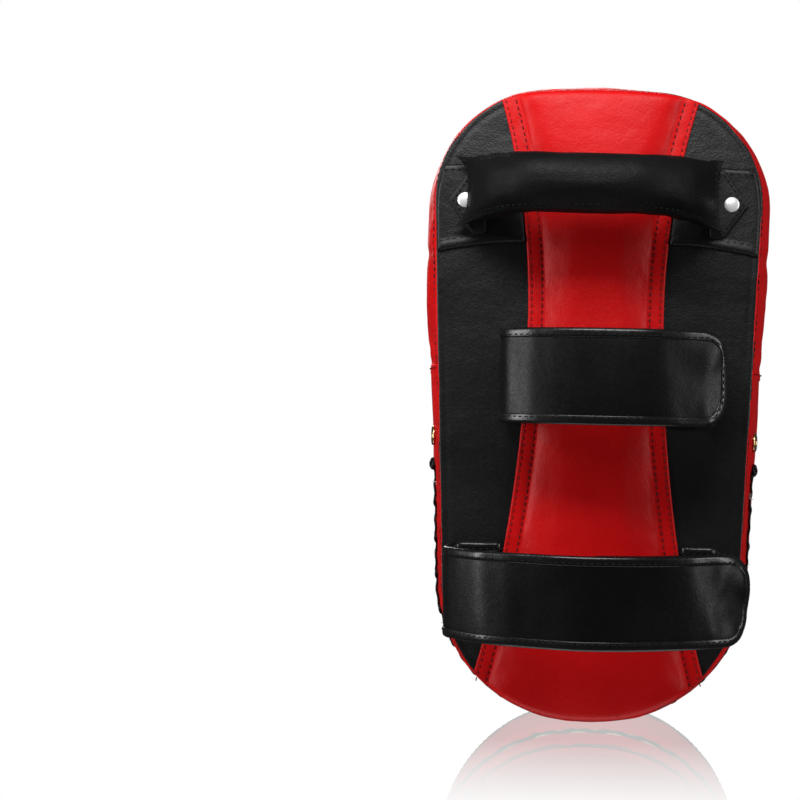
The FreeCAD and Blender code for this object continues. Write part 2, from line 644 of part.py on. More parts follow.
class Loop:
    """The closed line of one pair of straps, seen from above: folds left and right, a bowed front."""

    def __init__(self, name):
        self.name = name
        self.fold = {-1: size(f"{name}_fold_left"), 1: size(f"{name}_fold_right")}
        self.free_end = size(f"{name}_free_end")
        self.inner_end = size(f"{name}_inner_end")
        self.root = size(f"{name}_root")
        self.half_thick = size("strap_thickness") / 2
        self.radius = size(f"{name}_front_radius")
        middle = (self.fold[-1] + self.free_end) / 2
        self.centre = Vector(middle, self.radius - size(f"{name}_front"), 0)
        self.nested = size("strap_thickness") + 2 * size("patch_thickness") + size("patch_gap")

    def angle_at(self, across, radius):
        return -math.acos((across - self.centre.x) / radius)

    def corner(self, side, radius):
        """Centre of the bend between the fold and the front, and its direction from the front's centre."""
        bend = size("strap_corner_radius")
        across = self.fold[side] - side * bend
        rise = math.sqrt((radius - bend) ** 2 - (across - self.centre.x) ** 2)
        place = Vector(across, self.centre.y - rise, 0)
        towards = place - self.centre
        return place, math.atan2(towards.y, towards.x)

    def front_view(self, side, radius, start_depth, end, half_thick):
        """Section of a strap from its fold, round the bend and along the front to its end."""
        bend = size("strap_corner_radius")
        place, joint = self.corner(side, radius)
        stop = self.angle_at(end, radius)
        fold = self.fold[side]
        inner_x, outer_x = fold - side * half_thick, fold + side * half_thick
        near = Part.LineSegment(Vector(inner_x, -start_depth, 0), Vector(inner_x, place.y, 0))
        far = Part.LineSegment(Vector(outer_x, place.y, 0), Vector(outer_x, -start_depth, 0))
        bend_start, bend_end = (math.pi, joint + 2 * math.pi) if side < 0 else (0.0, joint)
        near_bend = arc(place, bend - half_thick, bend_start, bend_end)
        far_bend = arc(place, bend + half_thick, bend_start, bend_end)
        near_front = arc(self.centre, radius - half_thick, joint, stop)
        far_front = arc(self.centre, radius + half_thick, joint, stop)
        tip = Part.LineSegment(self.centre + direction(stop) * (radius - half_thick),
                               self.centre + direction(stop) * (radius + half_thick))
        root = Part.LineSegment(Vector(outer_x, -start_depth, 0), Vector(inner_x, -start_depth, 0))
        return [near, near_bend, near_front, tip, far_front, far_bend, far, root]

    def root_view(self, side, end_depth):
        """Section of the short sewn end: flat on the back panel, then bent up to the fold."""
        half = self.half_thick
        fold = self.fold[side]
        bend = size("strap_root_bend")
        flat = abs(fold) - self.root - bend
        place = Vector(side * (self.root + flat), -half - bend, 0)
        level, upright = math.pi / 2, (math.pi if side < 0 else 0.0)
        sewn = side * self.root
        near, far = fold - side * half, fold + side * half
        return [
            Part.LineSegment(Vector(sewn, -2 * half, 0), Vector(place.x, -2 * half, 0)),
            arc(place, bend - half, level, upright),
            Part.LineSegment(Vector(near, place.y, 0), Vector(near, -end_depth, 0)),
            Part.LineSegment(Vector(near, -end_depth, 0), Vector(far, -end_depth, 0)),
            Part.LineSegment(Vector(far, -end_depth, 0), Vector(far, place.y, 0)),
            arc(place, bend + half, level, upright),
            Part.LineSegment(Vector(place.x, 0, 0), Vector(sewn, 0, 0)),
            Part.LineSegment(Vector(sewn, 0, 0), Vector(sewn, -2 * half, 0)),
        ]

    def patch_view(self, radius, start, end):
        half = size("patch_thickness") / 2
        first, last = self.angle_at(start, radius), self.angle_at(end, radius)
        ends = [Part.LineSegment(self.centre + direction(a) * (radius - half),
                                 self.centre + direction(a) * (radius + half)) for a in (first, last)]
        return [arc(self.centre, radius - half, first, last), ends[1],
                arc(self.centre, radius + half, first, last), ends[0]]

    def strip(self, label, curves, width, tip=None, tip_radius=None):
        """A strip across the loop: a section drawn from above, as wide as a given expression."""
        made = body(label)
        sketch = sketch_on(made, "XY_Plane", label + "_view", f"Sizes.{self.name}_strap_height")
        draw(sketch, curves)
        pad = extrude(made, sketch, label + "_pad", width, both_ways=True)
        if tip is not None:
            doc.recompute()
            middle = size(f"{self.name}_strap_height")

            def at_tip_corner(edge):
                first, last = edge.Vertexes[0].Point, edge.Vertexes[-1].Point
                across_tip = all(abs(v.Point.x - tip) < 3.0 for v in edge.Vertexes)
                through_leather = edge.Length < LONGEST_THICKNESS_EDGE and abs(first.z - last.z) < 0.1
                return across_tip and through_leather and abs(first.z - middle) > 10.0

            fillet(made, pad, edges_where(pad, at_tip_corner), tip_radius)
        return made

    def bound_strap(self, label, side, radius, hinge_gap, end):
        """A strap and the binding folded over its edges and its free end."""
        wide = f"Sizes.{self.name}_strap_width"
        start = size("strap_hinge_depth") + hinge_gap
        extra = size("binding_thickness")
        round_end = end + (extra if side < 0 else -extra)
        strap = self.strip(label, self.front_view(side, radius, start, end, self.half_thick),
                           f"{wide} - 2 * Sizes.binding_thickness", end,
                           "Sizes.strap_end_radius - Sizes.binding_thickness")
        outside = self.strip(label + "_wrap", self.front_view(side, radius, start, round_end,
                                                              self.half_thick + extra),
                             wide, round_end, "Sizes.strap_end_radius")
        inside_end = end + (-size("binding_width") if side < 0 else size("binding_width"))
        window = self.strip(label + "_window", self.front_view(side, radius, start - 5, inside_end,
                                                               self.half_thick + 1.5),
                            f"{wide} - 2 * Sizes.binding_width", inside_end,
                            "Sizes.strap_end_radius - Sizes.binding_width")
        binding = cut(label + "_binding", cut(label + "_edging", outside, strap), window)
        return strap, binding

    def make(self):
        outer_radius = self.radius
        inner_radius = self.radius - self.nested
        wide = f"Sizes.{self.name}_strap_width"
        hinge = size("strap_hinge_depth")
        outer_gap, inner_gap = size("outer_hinge_gap"), size("inner_hinge_gap")
        outer, outer_binding = self.bound_strap(f"{self.name}_outer_strap", -1, outer_radius, outer_gap,
                                                self.free_end)
        inner, inner_binding = self.bound_strap(f"{self.name}_inner_strap", 1, inner_radius, inner_gap,
                                                self.inner_end)
        reach = self.half_thick + size("patch_thickness") / 2
        margin = size("patch_margin")
        patch_width = f"{wide} - 2 * Sizes.patch_margin"
        hook_end = self.fold[1] - size("strap_corner_radius") - margin
        patch_start = self.inner_end + 2 * margin
        hook = self.strip(f"{self.name}_hook_patch",
                          self.patch_view(outer_radius - reach, patch_start, hook_end), patch_width)
        loop = self.strip(f"{self.name}_loop_patch",
                          self.patch_view(inner_radius + reach, patch_start, hook_end), patch_width)
        left_root = self.strip(f"{self.name}_left_strap_root", self.root_view(-1, hinge - outer_gap), wide)
        right_root = self.strip(f"{self.name}_right_strap_root", self.root_view(1, hinge - inner_gap), wide)
        return [left_root, outer, outer_binding, hook, right_root, inner, inner_binding, loop]


# ---------------------------------------------------------------- the whole pad

cover, upper_gusset, lower_wall, back_sheet, face_foam, core_block, back_foam_block = make_padding()
eyelets, eyelet_washers, lower_gusset, core_foam, vented_foam = make_vents(lower_wall, core_block,
                                                                           back_foam_block)
rivets, rivet_washers, back_panel, back_foam, rivet_bars = make_rivets(back_sheet, vented_foam)
band, padding = make_forearm_band()
base_left, base_right = make_handle_bases(rivet_bars)
tab_left, tab_right = make_handle_tabs(rivet_bars)
grip_cover, grip_core = make_grip()
pieces = [
    cover, upper_gusset, lower_gusset, make_lace(), eyelets, eyelet_washers,
    back_panel, back_foam, core_foam, face_foam, band, padding,
    base_left, base_right, tab_left, tab_right, rivets, rivet_washers, grip_cover, grip_core,
]
for strap_pair in ("upper", "lower"):
    pieces += Loop(strap_pair).make()
doc.recompute()

for item in doc.Objects:
    if "Invalid" in item.State or "Error" in item.State:
        raise RuntimeError(f"{item.Name} failed: {item.State}")
for piece in pieces:
    if piece.Shape.isNull() or not piece.Shape.isValid() or not piece.Shape.Solids:
        raise RuntimeError(f"{piece.Label} has no valid solid")

os.makedirs("parts", exist_ok=True)
for piece in pieces:
    piece.Shape.exportStep(f"parts/{piece.Label}.step")
    print(f"{piece.Label}: {len(piece.Shape.Solids)} solids, {piece.Shape.Volume / 1000:.1f} cm3")
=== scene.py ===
import math

import bmesh
import bpy
import numpy as np
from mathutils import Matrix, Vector, noise


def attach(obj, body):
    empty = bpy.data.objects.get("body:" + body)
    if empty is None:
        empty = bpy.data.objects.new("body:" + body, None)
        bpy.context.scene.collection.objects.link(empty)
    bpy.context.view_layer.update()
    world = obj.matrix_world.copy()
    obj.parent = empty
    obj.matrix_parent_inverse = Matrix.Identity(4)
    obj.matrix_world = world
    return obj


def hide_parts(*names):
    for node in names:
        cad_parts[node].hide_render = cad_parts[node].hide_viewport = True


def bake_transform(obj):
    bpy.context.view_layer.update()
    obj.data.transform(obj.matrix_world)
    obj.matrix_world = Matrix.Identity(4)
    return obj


# A thai pad, seen from the strap side. Metres.
# X is across the pad, Z along it, Y from the straps to the striking face.

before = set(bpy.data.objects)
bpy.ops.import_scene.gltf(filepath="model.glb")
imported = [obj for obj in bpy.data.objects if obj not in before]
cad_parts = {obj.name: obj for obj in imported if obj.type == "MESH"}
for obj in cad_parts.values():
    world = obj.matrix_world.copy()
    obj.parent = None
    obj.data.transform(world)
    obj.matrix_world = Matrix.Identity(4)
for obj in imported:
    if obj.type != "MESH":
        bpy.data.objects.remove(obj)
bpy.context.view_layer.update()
MM = 0.001

# The pad's outline and depth, as in the design.
HALF_WIDTH = 92.0 * MM
SIDE_TAPER = math.radians(2.2)
HALF_HEIGHT = 186.5 * MM
TOP_RADIUS = 480.0 * MM
TOP_CORNER_RADIUS = 66.0 * MM
BOTTOM_CORNER_RADIUS = 81.0 * MM
BOTTOM_RADIUS = 170.0 * MM
FACE_RADIUS = 660.0 * MM
FACE_LOW_HEIGHT = -20.0 * MM
SEAM_LOW_DEPTH = 61.7 * MM
WALL_FLARE = 6.9 * MM
FLARE_DEPTH = 30.0 * MM
STUFFED_FLARE = 6.4 * MM
STUFFED_BULGE = 3.0 * MM
JOIN_HEIGHT = 19.0 * MM
FACE_EDGE_RADIUS = 11.0 * MM
FACE_EDGE_RISE = 1.8 * MM
SEAM_OUTSET = 6.4 * MM
WALL_LEATHER = 0.9 * MM
COVER_LEATHER = 1.0 * MM
ROUTE_STEP = 3.0 * MM
SAME_PLACE = 0.02 * MM
RING_COLUMNS = 336

# Side wall fittings.
SLIT_TOP = -39.0 * MM
LACE_DEPTH = 22.0 * MM
VENT_HEIGHT = -20.0 * MM
VENT_DEPTH = 20.0 * MM
LACE_WRAP_SPACING = 21.0 * MM
LACE_HALF_WIDTH = 1.9 * MM
LACE_HALF_THICKNESS = 0.75 * MM

# Forearm band.
BAND_HALF_WIDTH = 40.2 * MM
BAND_WAIST = 55.0 * MM
BAND_UPPER_RADIUS = 435.0 * MM
BAND_LOWER_RADIUS = 862.0 * MM
BORDER_WIDTH = 10.5 * MM
BORDER_HEIGHT = 1.6 * MM
BAND_HEIGHT = 7.0 * MM
BAND_DOME_RAMP = 15.0 * MM
BAND_END_RAMP = 4.5 * MM
BAND_SEAMS = (2.3 * MM, 8.4 * MM)
BAND_SEAM_HEIGHTS = (-163.0 * MM, 178.0 * MM)

# Handle.
HANDLE_HEIGHT = 124.0 * MM
GRIP_SHIFT = -5.0 * MM
GRIP_RADIUS = 16.5 * MM
GRIP_RISE = 49.0 * MM
GRIP_HALF_SPAN = 77.5 * MM
GRIP_END_RISE = 6.0 * MM
GRIP_END_THICKNESS = 5.2 * MM
GRIP_END_HALF_WIDTH = 20.0 * MM
BASE_LOW = 95.0 * MM
BASE_TOP = 142.0 * MM
BASE_THICKNESS = 1.6 * MM
TAB_HEIGHT = 119.5 * MM
TAB_THICKNESS = 1.8 * MM
RIVET_PLACE = 78.5 * MM
RIDGE_ANGLE = math.radians(-68)
RIDGE_STITCHES = 0.24

# Straps.
STRAP_THICKNESS = 2.4 * MM
STRAP_BEND = 12.0 * MM
STRAP_END_RADIUS = 17.0 * MM
STRAP_ROOT_BEND = 6.5 * MM
ROOT_UNDER_BAND = 8.0 * MM
STRAP_NESTED = 5.2 * MM
BINDING_WIDTH = 5.0 * MM
STRAPS = {
    "upper": dict(width=53 * MM, height=16 * MM, fold_left=-51.5 * MM, fold_right=68 * MM, free_end=75 * MM,
                  inner_end=-8 * MM, front=58 * MM, front_radius=95 * MM, root=43.5 * MM),
    "lower": dict(width=51 * MM, height=-108 * MM, fold_left=-82 * MM, fold_right=76 * MM, free_end=90 * MM,
                  inner_end=-10 * MM, front=67 * MM, front_radius=120 * MM, root=61.5 * MM),
}

# The studio.
CAMERA = dict(lens=64.8, shift_x=-0.2424, shift_y=0.0067)
CAMERA_DISTANCE = 0.85
CAMERA_SWING = math.radians(1.3)
CAMERA_ROLL = math.radians(-1.25)
LIGHTS = {
    "key": dict(place=(-0.08, -0.4, 0.45), target=(0, 0, 0.2), width=0.45, height=0.2, power=3.6),
    "left_strip": dict(place=(-1.0, -0.4, 0.15), target=(0, 0, 0), width=0.2, height=0.9, power=7),
    "right_strip": dict(place=(1.0, -0.35, 0.2), target=(0, 0, 0), width=0.2, height=0.9, power=5),
    "face_key": dict(place=(-0.3, 1.3, 0.6), target=(0, 0.05, 0), width=0.8, height=0.8, power=12),
    "from_floor": dict(place=(0, -0.05, -0.5), target=(0, 0.02, -0.19), width=0.5, height=0.3, power=0.9),
}
WHITE = (1, 1, 1, 1)
WORLD_STRENGTH = 0.06
FLOOR_HEIGHT = -0.1935
FLOOR_SIZE = 3.0
MIRROR_SHARE = 0.5
MIRROR_FADE = (-0.17, -0.02)


def linked(name, data):
    """A new object in the scene."""
    made = bpy.data.objects.new(name, data)
    bpy.context.collection.objects.link(made)
    return made


def feed(tree, value, socket):
    """Links a socket to another one, or gives it a fixed value."""
    if isinstance(value, bpy.types.NodeSocket):
        tree.links.new(value, socket)
    else:
        socket.default_value = value


# ---------------------------------------------------------------- camera, light and stage

def make_camera():
    """Level with the middle of the pad, in front of its back, a little to the right of it."""
    data = bpy.data.cameras.new("camera")
    for key, value in CAMERA.items():
        setattr(data, key, value)
    camera = linked("camera", data)
    camera.location = (CAMERA_DISTANCE * math.sin(CAMERA_SWING), -CAMERA_DISTANCE * math.cos(CAMERA_SWING), 0)
    camera.rotation_euler = (math.pi / 2, CAMERA_ROLL, CAMERA_SWING)
    bpy.context.scene.camera = camera


def make_lights():
    """Soft rectangular lights in front, at both sides, behind and below."""
    for name, light in LIGHTS.items():
        data = bpy.data.lights.new(name, "AREA")
        data.shape = "RECTANGLE"
        data.size = light["width"]
        data.size_y = light["height"]
        data.energy = light["power"]
        lamp = linked(name, data)
        lamp.location = light["place"]
        way = Vector(light["target"]) - lamp.location
        lamp.rotation_euler = way.to_track_quat("-Z", "Y").to_euler()


def emptied(owner):
    """The owner's node tree, with nothing in it."""
    owner.use_nodes = True
    owner.node_tree.nodes.clear()
    return owner.node_tree


def make_world():
    """White to the camera and in the floor's perfect mirror, dim for everything that it lights."""
    world = bpy.data.worlds.new("studio")
    bpy.context.scene.world = world
    tree = emptied(world)
    seen = tree.nodes.new("ShaderNodeBackground")
    lit = tree.nodes.new("ShaderNodeBackground")
    for light in (seen, lit):
        light.inputs["Color"].default_value = WHITE
    lit.inputs["Strength"].default_value = WORLD_STRENGTH
    path = tree.nodes.new("ShaderNodeLightPath")
    white_for = tree.nodes.new("ShaderNodeMath")
    white_for.operation = "MAXIMUM"
    mix = tree.nodes.new("ShaderNodeMixShader")
    out = tree.nodes.new("ShaderNodeOutputWorld")
    tree.links.new(path.outputs["Is Camera Ray"], white_for.inputs[0])
    tree.links.new(path.outputs["Is Singular Ray"], white_for.inputs[1])
    for source, target in zip((white_for, lit, seen), mix.inputs):
        tree.links.new(source.outputs[0], target)
    tree.links.new(mix.outputs[0], out.inputs["Surface"])
    bpy.context.scene.view_settings.view_transform = "Standard"


def make_floor():
    """A white floor that mirrors the foot of the pad faintly."""
    square = ((-1, -1), (1, -1), (1, 1), (-1, 1))
    corners = [(x * FLOOR_SIZE, y * FLOOR_SIZE, FLOOR_HEIGHT) for x, y in square]
    mesh = bpy.data.meshes.new("floor")
    mesh.from_pydata(corners, [], [(0, 1, 2, 3)])
    floor = linked("floor", mesh)
    material = bpy.data.materials.new("white_floor")
    tree = emptied(material)
    white = tree.nodes.new("ShaderNodeEmission")
    mirror = tree.nodes.new("ShaderNodeBsdfGlossy")
    mirror.inputs["Color"].default_value = WHITE
    mirror.inputs["Roughness"].default_value = 0.0
    place = tree.nodes.new("ShaderNodeTexCoord")
    split = tree.nodes.new("ShaderNodeSeparateXYZ")
    fade = tree.nodes.new("ShaderNodeMapRange")
    for key, value in zip(("From Min", "From Max", "To Min", "To Max"), (*MIRROR_FADE, 0.0, MIRROR_SHARE)):
        fade.inputs[key].default_value = value
    both = tree.nodes.new("ShaderNodeMixShader")
    out = tree.nodes.new("ShaderNodeOutputMaterial")
    tree.links.new(place.outputs["Object"], split.inputs[0])
    tree.links.new(split.outputs["Y"], fade.inputs["Value"])
    for source, target in zip((fade, white, mirror), both.inputs):
        tree.links.new(source.outputs[0], target)
    tree.links.new(both.outputs[0], out.inputs["Surface"])
    mesh.materials.append(material)
    floor.visible_diffuse = False
    floor.visible_glossy = False
    floor.visible_shadow = False


# ---------------------------------------------------------------- materials

class Shader:
    """A material under construction: short calls for the nodes that every material here uses."""

    def __init__(self, name):
        self.material = bpy.data.materials.new(name)
        self.material.use_nodes = True
        self.tree = self.material.node_tree
        self.surface = self.tree.nodes["Principled BSDF"]
        self.place = self.node("TexCoord").outputs["Object"]

    def node(self, kind, **inputs):
        made = self.tree.nodes.new("ShaderNode" + kind)
        for key, value in inputs.items():
            feed(self.tree, value, made.inputs[key.replace("_", " ")])
        return made

    def noise(self, scale, detail=3.0, roughness=0.5, place=None):
        made = self.node("TexNoise", Vector=place or self.place, Scale=scale, Detail=detail,
                         Roughness=roughness)
        return made.outputs["Fac"]

    def cells(self, scale, feature="F1", place=None):
        made = self.node("TexVoronoi", Vector=place or self.place, Scale=scale)
        made.feature = feature
        return made.outputs["Distance"]

    def math(self, operation, first, second=0.0):
        made = self.tree.nodes.new("ShaderNodeMath")
        made.operation = operation
        for socket, value in zip(made.inputs, (first, second)):
            feed(self.tree, value, socket)
        return made.outputs[0]

    def ramp(self, value, low, high, to_low=0.0, to_high=1.0):
        made = self.node("MapRange", Value=value)
        for key, number in zip(("From Min", "From Max", "To Min", "To Max"), (low, high, to_low, to_high)):
            made.inputs[key].default_value = number
        return made.outputs[0]

    def blend(self, factor, first, second):
        made = self.tree.nodes.new("ShaderNodeMix")
        made.data_type = "RGBA"
        for socket, value in ((made.inputs[0], factor), (made.inputs[6], first), (made.inputs[7], second)):
            feed(self.tree, (*value, 1) if isinstance(value, tuple) else value, socket)
        return made.outputs[2]

    def bumps(self, *layers):
        """Each layer is a height socket and its depth in metres."""
        normal = None
        for height, depth in layers:
            made = self.node("Bump", Height=height, Distance=depth)
            made.inputs["Strength"].default_value = 1.0
            if normal:
                self.tree.links.new(normal, made.inputs["Normal"])
            normal = made.outputs[0]
        self.tree.links.new(normal, self.surface.inputs["Normal"])

    def finish(self, colour, roughness, **fixed):
        feed(self.tree, colour, self.surface.inputs["Base Color"])
        feed(self.tree, roughness, self.surface.inputs["Roughness"])
        for key, value in fixed.items():
            self.surface.inputs[key.replace("_", " ")].default_value = value
        return self.material


def leather(name, colour, dark, gloss, grain_size, grain_depth, shine=0.25, crease_depth=0.00012, coat=0.0):
    """Coated leather: pebbles of a given size, fine pores between them, soft creases, uneven gloss."""
    made = Shader(name)
    warp = made.node("TexNoise", Vector=made.place, Scale=260.0, Detail=2.0)
    bent = made.node("VectorMath", Vector=made.place)
    bent.operation = "ADD"
    shifted = made.node("VectorMath", Vector=warp.outputs["Color"])
    shifted.operation = "SCALE"
    shifted.inputs["Scale"].default_value = 0.0012
    made.tree.links.new(shifted.outputs[0], bent.inputs[1])
    pebbles = made.cells(1.0 / grain_size, place=bent.outputs[0])
    pebble_tops = made.ramp(pebbles, 0.15, 0.75, 1.0, 0.0)
    pores = made.noise(0.5 / grain_size, 6.0, 0.65)
    creases = made.noise(70.0, 4.0, 0.55)
    mottle = made.noise(24.0, 3.0)
    depth = made.math("MULTIPLY", made.ramp(mottle, 0.3, 0.7, 0.45, 1.0), pebble_tops)
    made.bumps((creases, crease_depth * 6), (pores, grain_depth * 0.6), (depth, grain_depth))
    tone = made.blend(made.ramp(mottle, 0.3, 0.75), dark, colour)
    tone = made.blend(made.ramp(pebbles, 0.55, 0.9, 0.0, 0.35), tone, dark)
    rough = made.math("ADD", made.ramp(pores, 0.3, 0.7, gloss - 0.05, gloss + 0.07),
                      made.ramp(mottle, 0.3, 0.7, -0.03, 0.04))
    return made.finish(tone, rough, Specular_IOR_Level=shine, Coat_Weight=coat, Coat_Roughness=0.15)


def metal(name, colour, rough, metallic=1.0):
    """Plated metal with fine scuffs and patches of dulled finish."""
    made = Shader(name)
    scuffs = made.noise(900.0, 5.0, 0.6)
    tarnish = made.noise(160.0, 3.0)
    made.bumps((scuffs, 0.00003))
    tone = made.blend(made.ramp(tarnish, 0.35, 0.7, 0.0, 0.5), colour, tuple(c * 0.6 for c in colour))
    return made.finish(tone, made.ramp(tarnish, 0.3, 0.7, rough - 0.06, rough + 0.1), Metallic=metallic)


def thread(name, colour):
    """Twisted sewing thread."""
    made = Shader(name)
    twist = made.noise(2600.0, 2.0)
    made.bumps((twist, 0.00015))
    return made.finish(made.blend(twist, tuple(c * 0.6 for c in colour), colour), 0.6, Specular_IOR_Level=0.2)


def tape(name, colour, size, depth):
    """Hook or loop tape: a field of tiny tufts."""
    made = Shader(name)
    tufts = made.cells(1.0 / size)
    fuzz = made.noise(2400.0, 5.0, 0.7)
    made.bumps((tufts, depth), (fuzz, depth * 0.5))
    tone = made.blend(made.ramp(tufts, 0.1, 0.6), tuple(c * 1.9 for c in colour), colour)
    return made.finish(tone, 0.85, Sheen_Weight=0.4, Sheen_Roughness=0.5)


def foam(name, colour, size):
    """Cut foam: a field of small pits."""
    made = Shader(name)
    pits = made.cells(1.0 / size, "SMOOTH_F1")
    made.bumps((pits, size * 0.5))
    tone = made.blend(made.ramp(pits, 0.2, 0.7), tuple(c * 0.6 for c in colour), colour)
    return made.finish(tone, 0.9)


MATERIALS = {
    "face": leather("face_leather", (0.0085, 0.0088, 0.0095), (0.005, 0.005, 0.0055), 0.44, 0.0011, 0.00010),
    "gusset": leather("gusset_leather", (0.66, 0.0035, 0.0045), (0.56, 0.002, 0.003), 0.50, 0.0013, 0.00006,
                      shine=0.12),
    "band": leather("band_leather", (0.62, 0.0030, 0.0040), (0.52, 0.002, 0.003), 0.45, 0.0013, 0.00006,
                    shine=0.18),
    "back": leather("back_leather", (0.0075, 0.0078, 0.0086), (0.0045, 0.0045, 0.005), 0.42, 0.0012, 0.00008,
                    shine=0.3),
    "handle": leather("handle_leather", (0.005, 0.0052, 0.0055), (0.003, 0.003, 0.0033), 0.52, 0.0011,
                      0.00012, shine=0.12),
    "tab": leather("tab_leather", (0.0085, 0.0088, 0.0096), (0.0055, 0.0055, 0.006), 0.44, 0.0012, 0.00008,
                   shine=0.3),
    "strap": leather("strap_leather", (0.0050, 0.0052, 0.0055), (0.003, 0.003, 0.0034), 0.36, 0.0010, 0.00003,
                     shine=0.2, crease_depth=0.00005),
    "binding": leather("binding_vinyl", (0.006, 0.006, 0.0065), (0.004, 0.004, 0.004), 0.28, 0.0018, 0.00003,
                       shine=0.35, crease_depth=0.00003, coat=0.15),
    "lace": leather("lace_leather", (0.012, 0.012, 0.013), (0.007, 0.007, 0.007), 0.38, 0.0009, 0.00010),
    "black_thread": thread("black_thread", (0.004, 0.004, 0.0045)),
    "red_thread": thread("red_thread", (0.24, 0.006, 0.008)),
    "dark_thread": thread("dark_thread", (0.09, 0.004, 0.005)),
    "brass": metal("brass", (0.72, 0.53, 0.27), 0.24),
    "nickel": metal("plated_steel", (0.95, 0.95, 0.96), 0.36, 0.5),
    "hook": tape("hook_tape", (0.02, 0.02, 0.021), 0.0009, 0.0004),
    "loop": tape("loop_tape", (0.025, 0.025, 0.027), 0.0006, 0.0003),
    "dense_foam": foam("dense_foam", (0.22, 0.22, 0.23), 0.0008),
    "soft_foam": foam("soft_foam", (0.72, 0.66, 0.45), 0.0016),
    "fluff": thread("raw_lining", (0.82, 0.80, 0.78)),
}


LEATHER_CLOTH = dict(quality=6, mass=0.3, tension_stiffness=12.0, compression_stiffness=12.0,
                     shear_stiffness=6.0, bending_stiffness=0.6)
CLOTH_FRAMES = 20


# ---------------------------------------------------------------- mesh helpers

def new_piece(name, vertices, faces, material):
    """A smooth mesh in one material, with its place in its points."""
    mesh = bpy.data.meshes.new(name)
    mesh.from_pydata([tuple(v) for v in vertices], [], [tuple(int(i) for i in f) for f in faces])
    mesh.validate()
    mesh.materials.append(MATERIALS[material])
    mesh.shade_smooth()
    return linked(name, mesh)


def grid_faces(rows, columns, around=False, along=False):
    """Quads of a grid of points; around joins its last column to its first, along its last row too."""
    row, column = np.meshgrid(np.arange(rows if along else rows - 1),
                              np.arange(columns if around else columns - 1), indexing="ij")
    row = row.ravel()
    column = column.ravel()
    below = (row + 1) % rows
    right = (column + 1) % columns
    return np.stack([row * columns + column, row * columns + right,
                     below * columns + right, below * columns + column], axis=1)


def tube_faces(rings, around):
    """Faces of a closed tube: its rings of points joined, and both its ends filled."""
    faces = [tuple(f) for f in grid_faces(rings, around, around=True)]
    faces.append(tuple(range(around)))
    faces.append(tuple(range((rings - 1) * around, rings * around))[::-1])
    return faces


def face_out(piece):
    """Turns all faces of a piece the same way, outwards."""
    work = bmesh.new()
    work.from_mesh(piece.data)
    bmesh.ops.recalc_face_normals(work, faces=work.faces)
    work.to_mesh(piece.data)
    work.free()
    return piece


def modify(piece, kind, **settings):
    """Adds a modifier and applies it."""
    modifier = piece.modifiers.new(kind.lower(), kind)
    for key, value in settings.items():
        setattr(modifier, key, value)
    evaluated = piece.evaluated_get(bpy.context.evaluated_depsgraph_get())
    mesh = bpy.data.meshes.new_from_object(evaluated)
    piece.modifiers.clear()
    old = piece.data
    piece.data = mesh
    mesh.name = old.name
    mesh.shade_smooth()
    return piece


def coordinates(piece):
    """The piece's points as an array."""
    flat = np.empty(len(piece.data.vertices) * 3, np.float32)
    piece.data.vertices.foreach_get("co", flat)
    return flat.reshape(-1, 3).astype(float)


def set_coordinates(piece, points):
    piece.data.vertices.foreach_set("co", np.asarray(points, np.float32).ravel())
    piece.data.update()


def settle(piece, held, pressure, growth, cap):
    """Inflates a leather skin by cloth simulation; held points stay, and none moves farther than cap."""
    start = coordinates(piece)
    trial = linked(piece.name + "_trial", piece.data.copy())
    pins = trial.vertex_groups.new(name="held")
    pins.add([int(i) for i in np.nonzero(held)[0]], 1.0, "REPLACE")
    cloth = trial.modifiers.new("cloth", "CLOTH")
    for key, value in LEATHER_CLOTH.items():
        setattr(cloth.settings, key, value)
    cloth.settings.vertex_group_mass = "held"
    cloth.settings.use_pressure = True
    cloth.settings.uniform_pressure_force = pressure
    cloth.settings.shrink_min = -growth
    cloth.settings.effector_weights.gravity = 0.0
    cloth.point_cache.frame_start = 1
    cloth.point_cache.frame_end = CLOTH_FRAMES
    for step in range(1, CLOTH_FRAMES + 1):
        bpy.context.scene.frame_set(step)
    evaluated = trial.evaluated_get(bpy.context.evaluated_depsgraph_get())
    flat = np.empty(len(start) * 3, np.float32)
    evaluated.data.vertices.foreach_get("co", flat)
    moved = flat.reshape(-1, 3).astype(float) - start
    length = np.linalg.norm(moved, axis=1, keepdims=True)
    moved *= cap * np.tanh(length / cap) / np.maximum(length, 1e-9)
    set_coordinates(piece, start + moved)
    bpy.data.objects.remove(trial, do_unlink=True)
    bpy.context.scene.frame_set(1)
    return piece


def ripple(points, size, depth, seed, stretch=(1, 1, 1)):
    """Smooth random height for each point: waves of about a given size."""
    scaled = np.asarray(points) * np.array(stretch) / size + seed * 7.3
    return depth * np.array([noise.noise(Vector(p)) for p in scaled])


def unit(vectors):
    """The same directions, one long."""
    return vectors / np.maximum(np.linalg.norm(vectors, axis=-1, keepdims=True), 1e-12)


# ---------------------------------------------------------------- the pad's outline

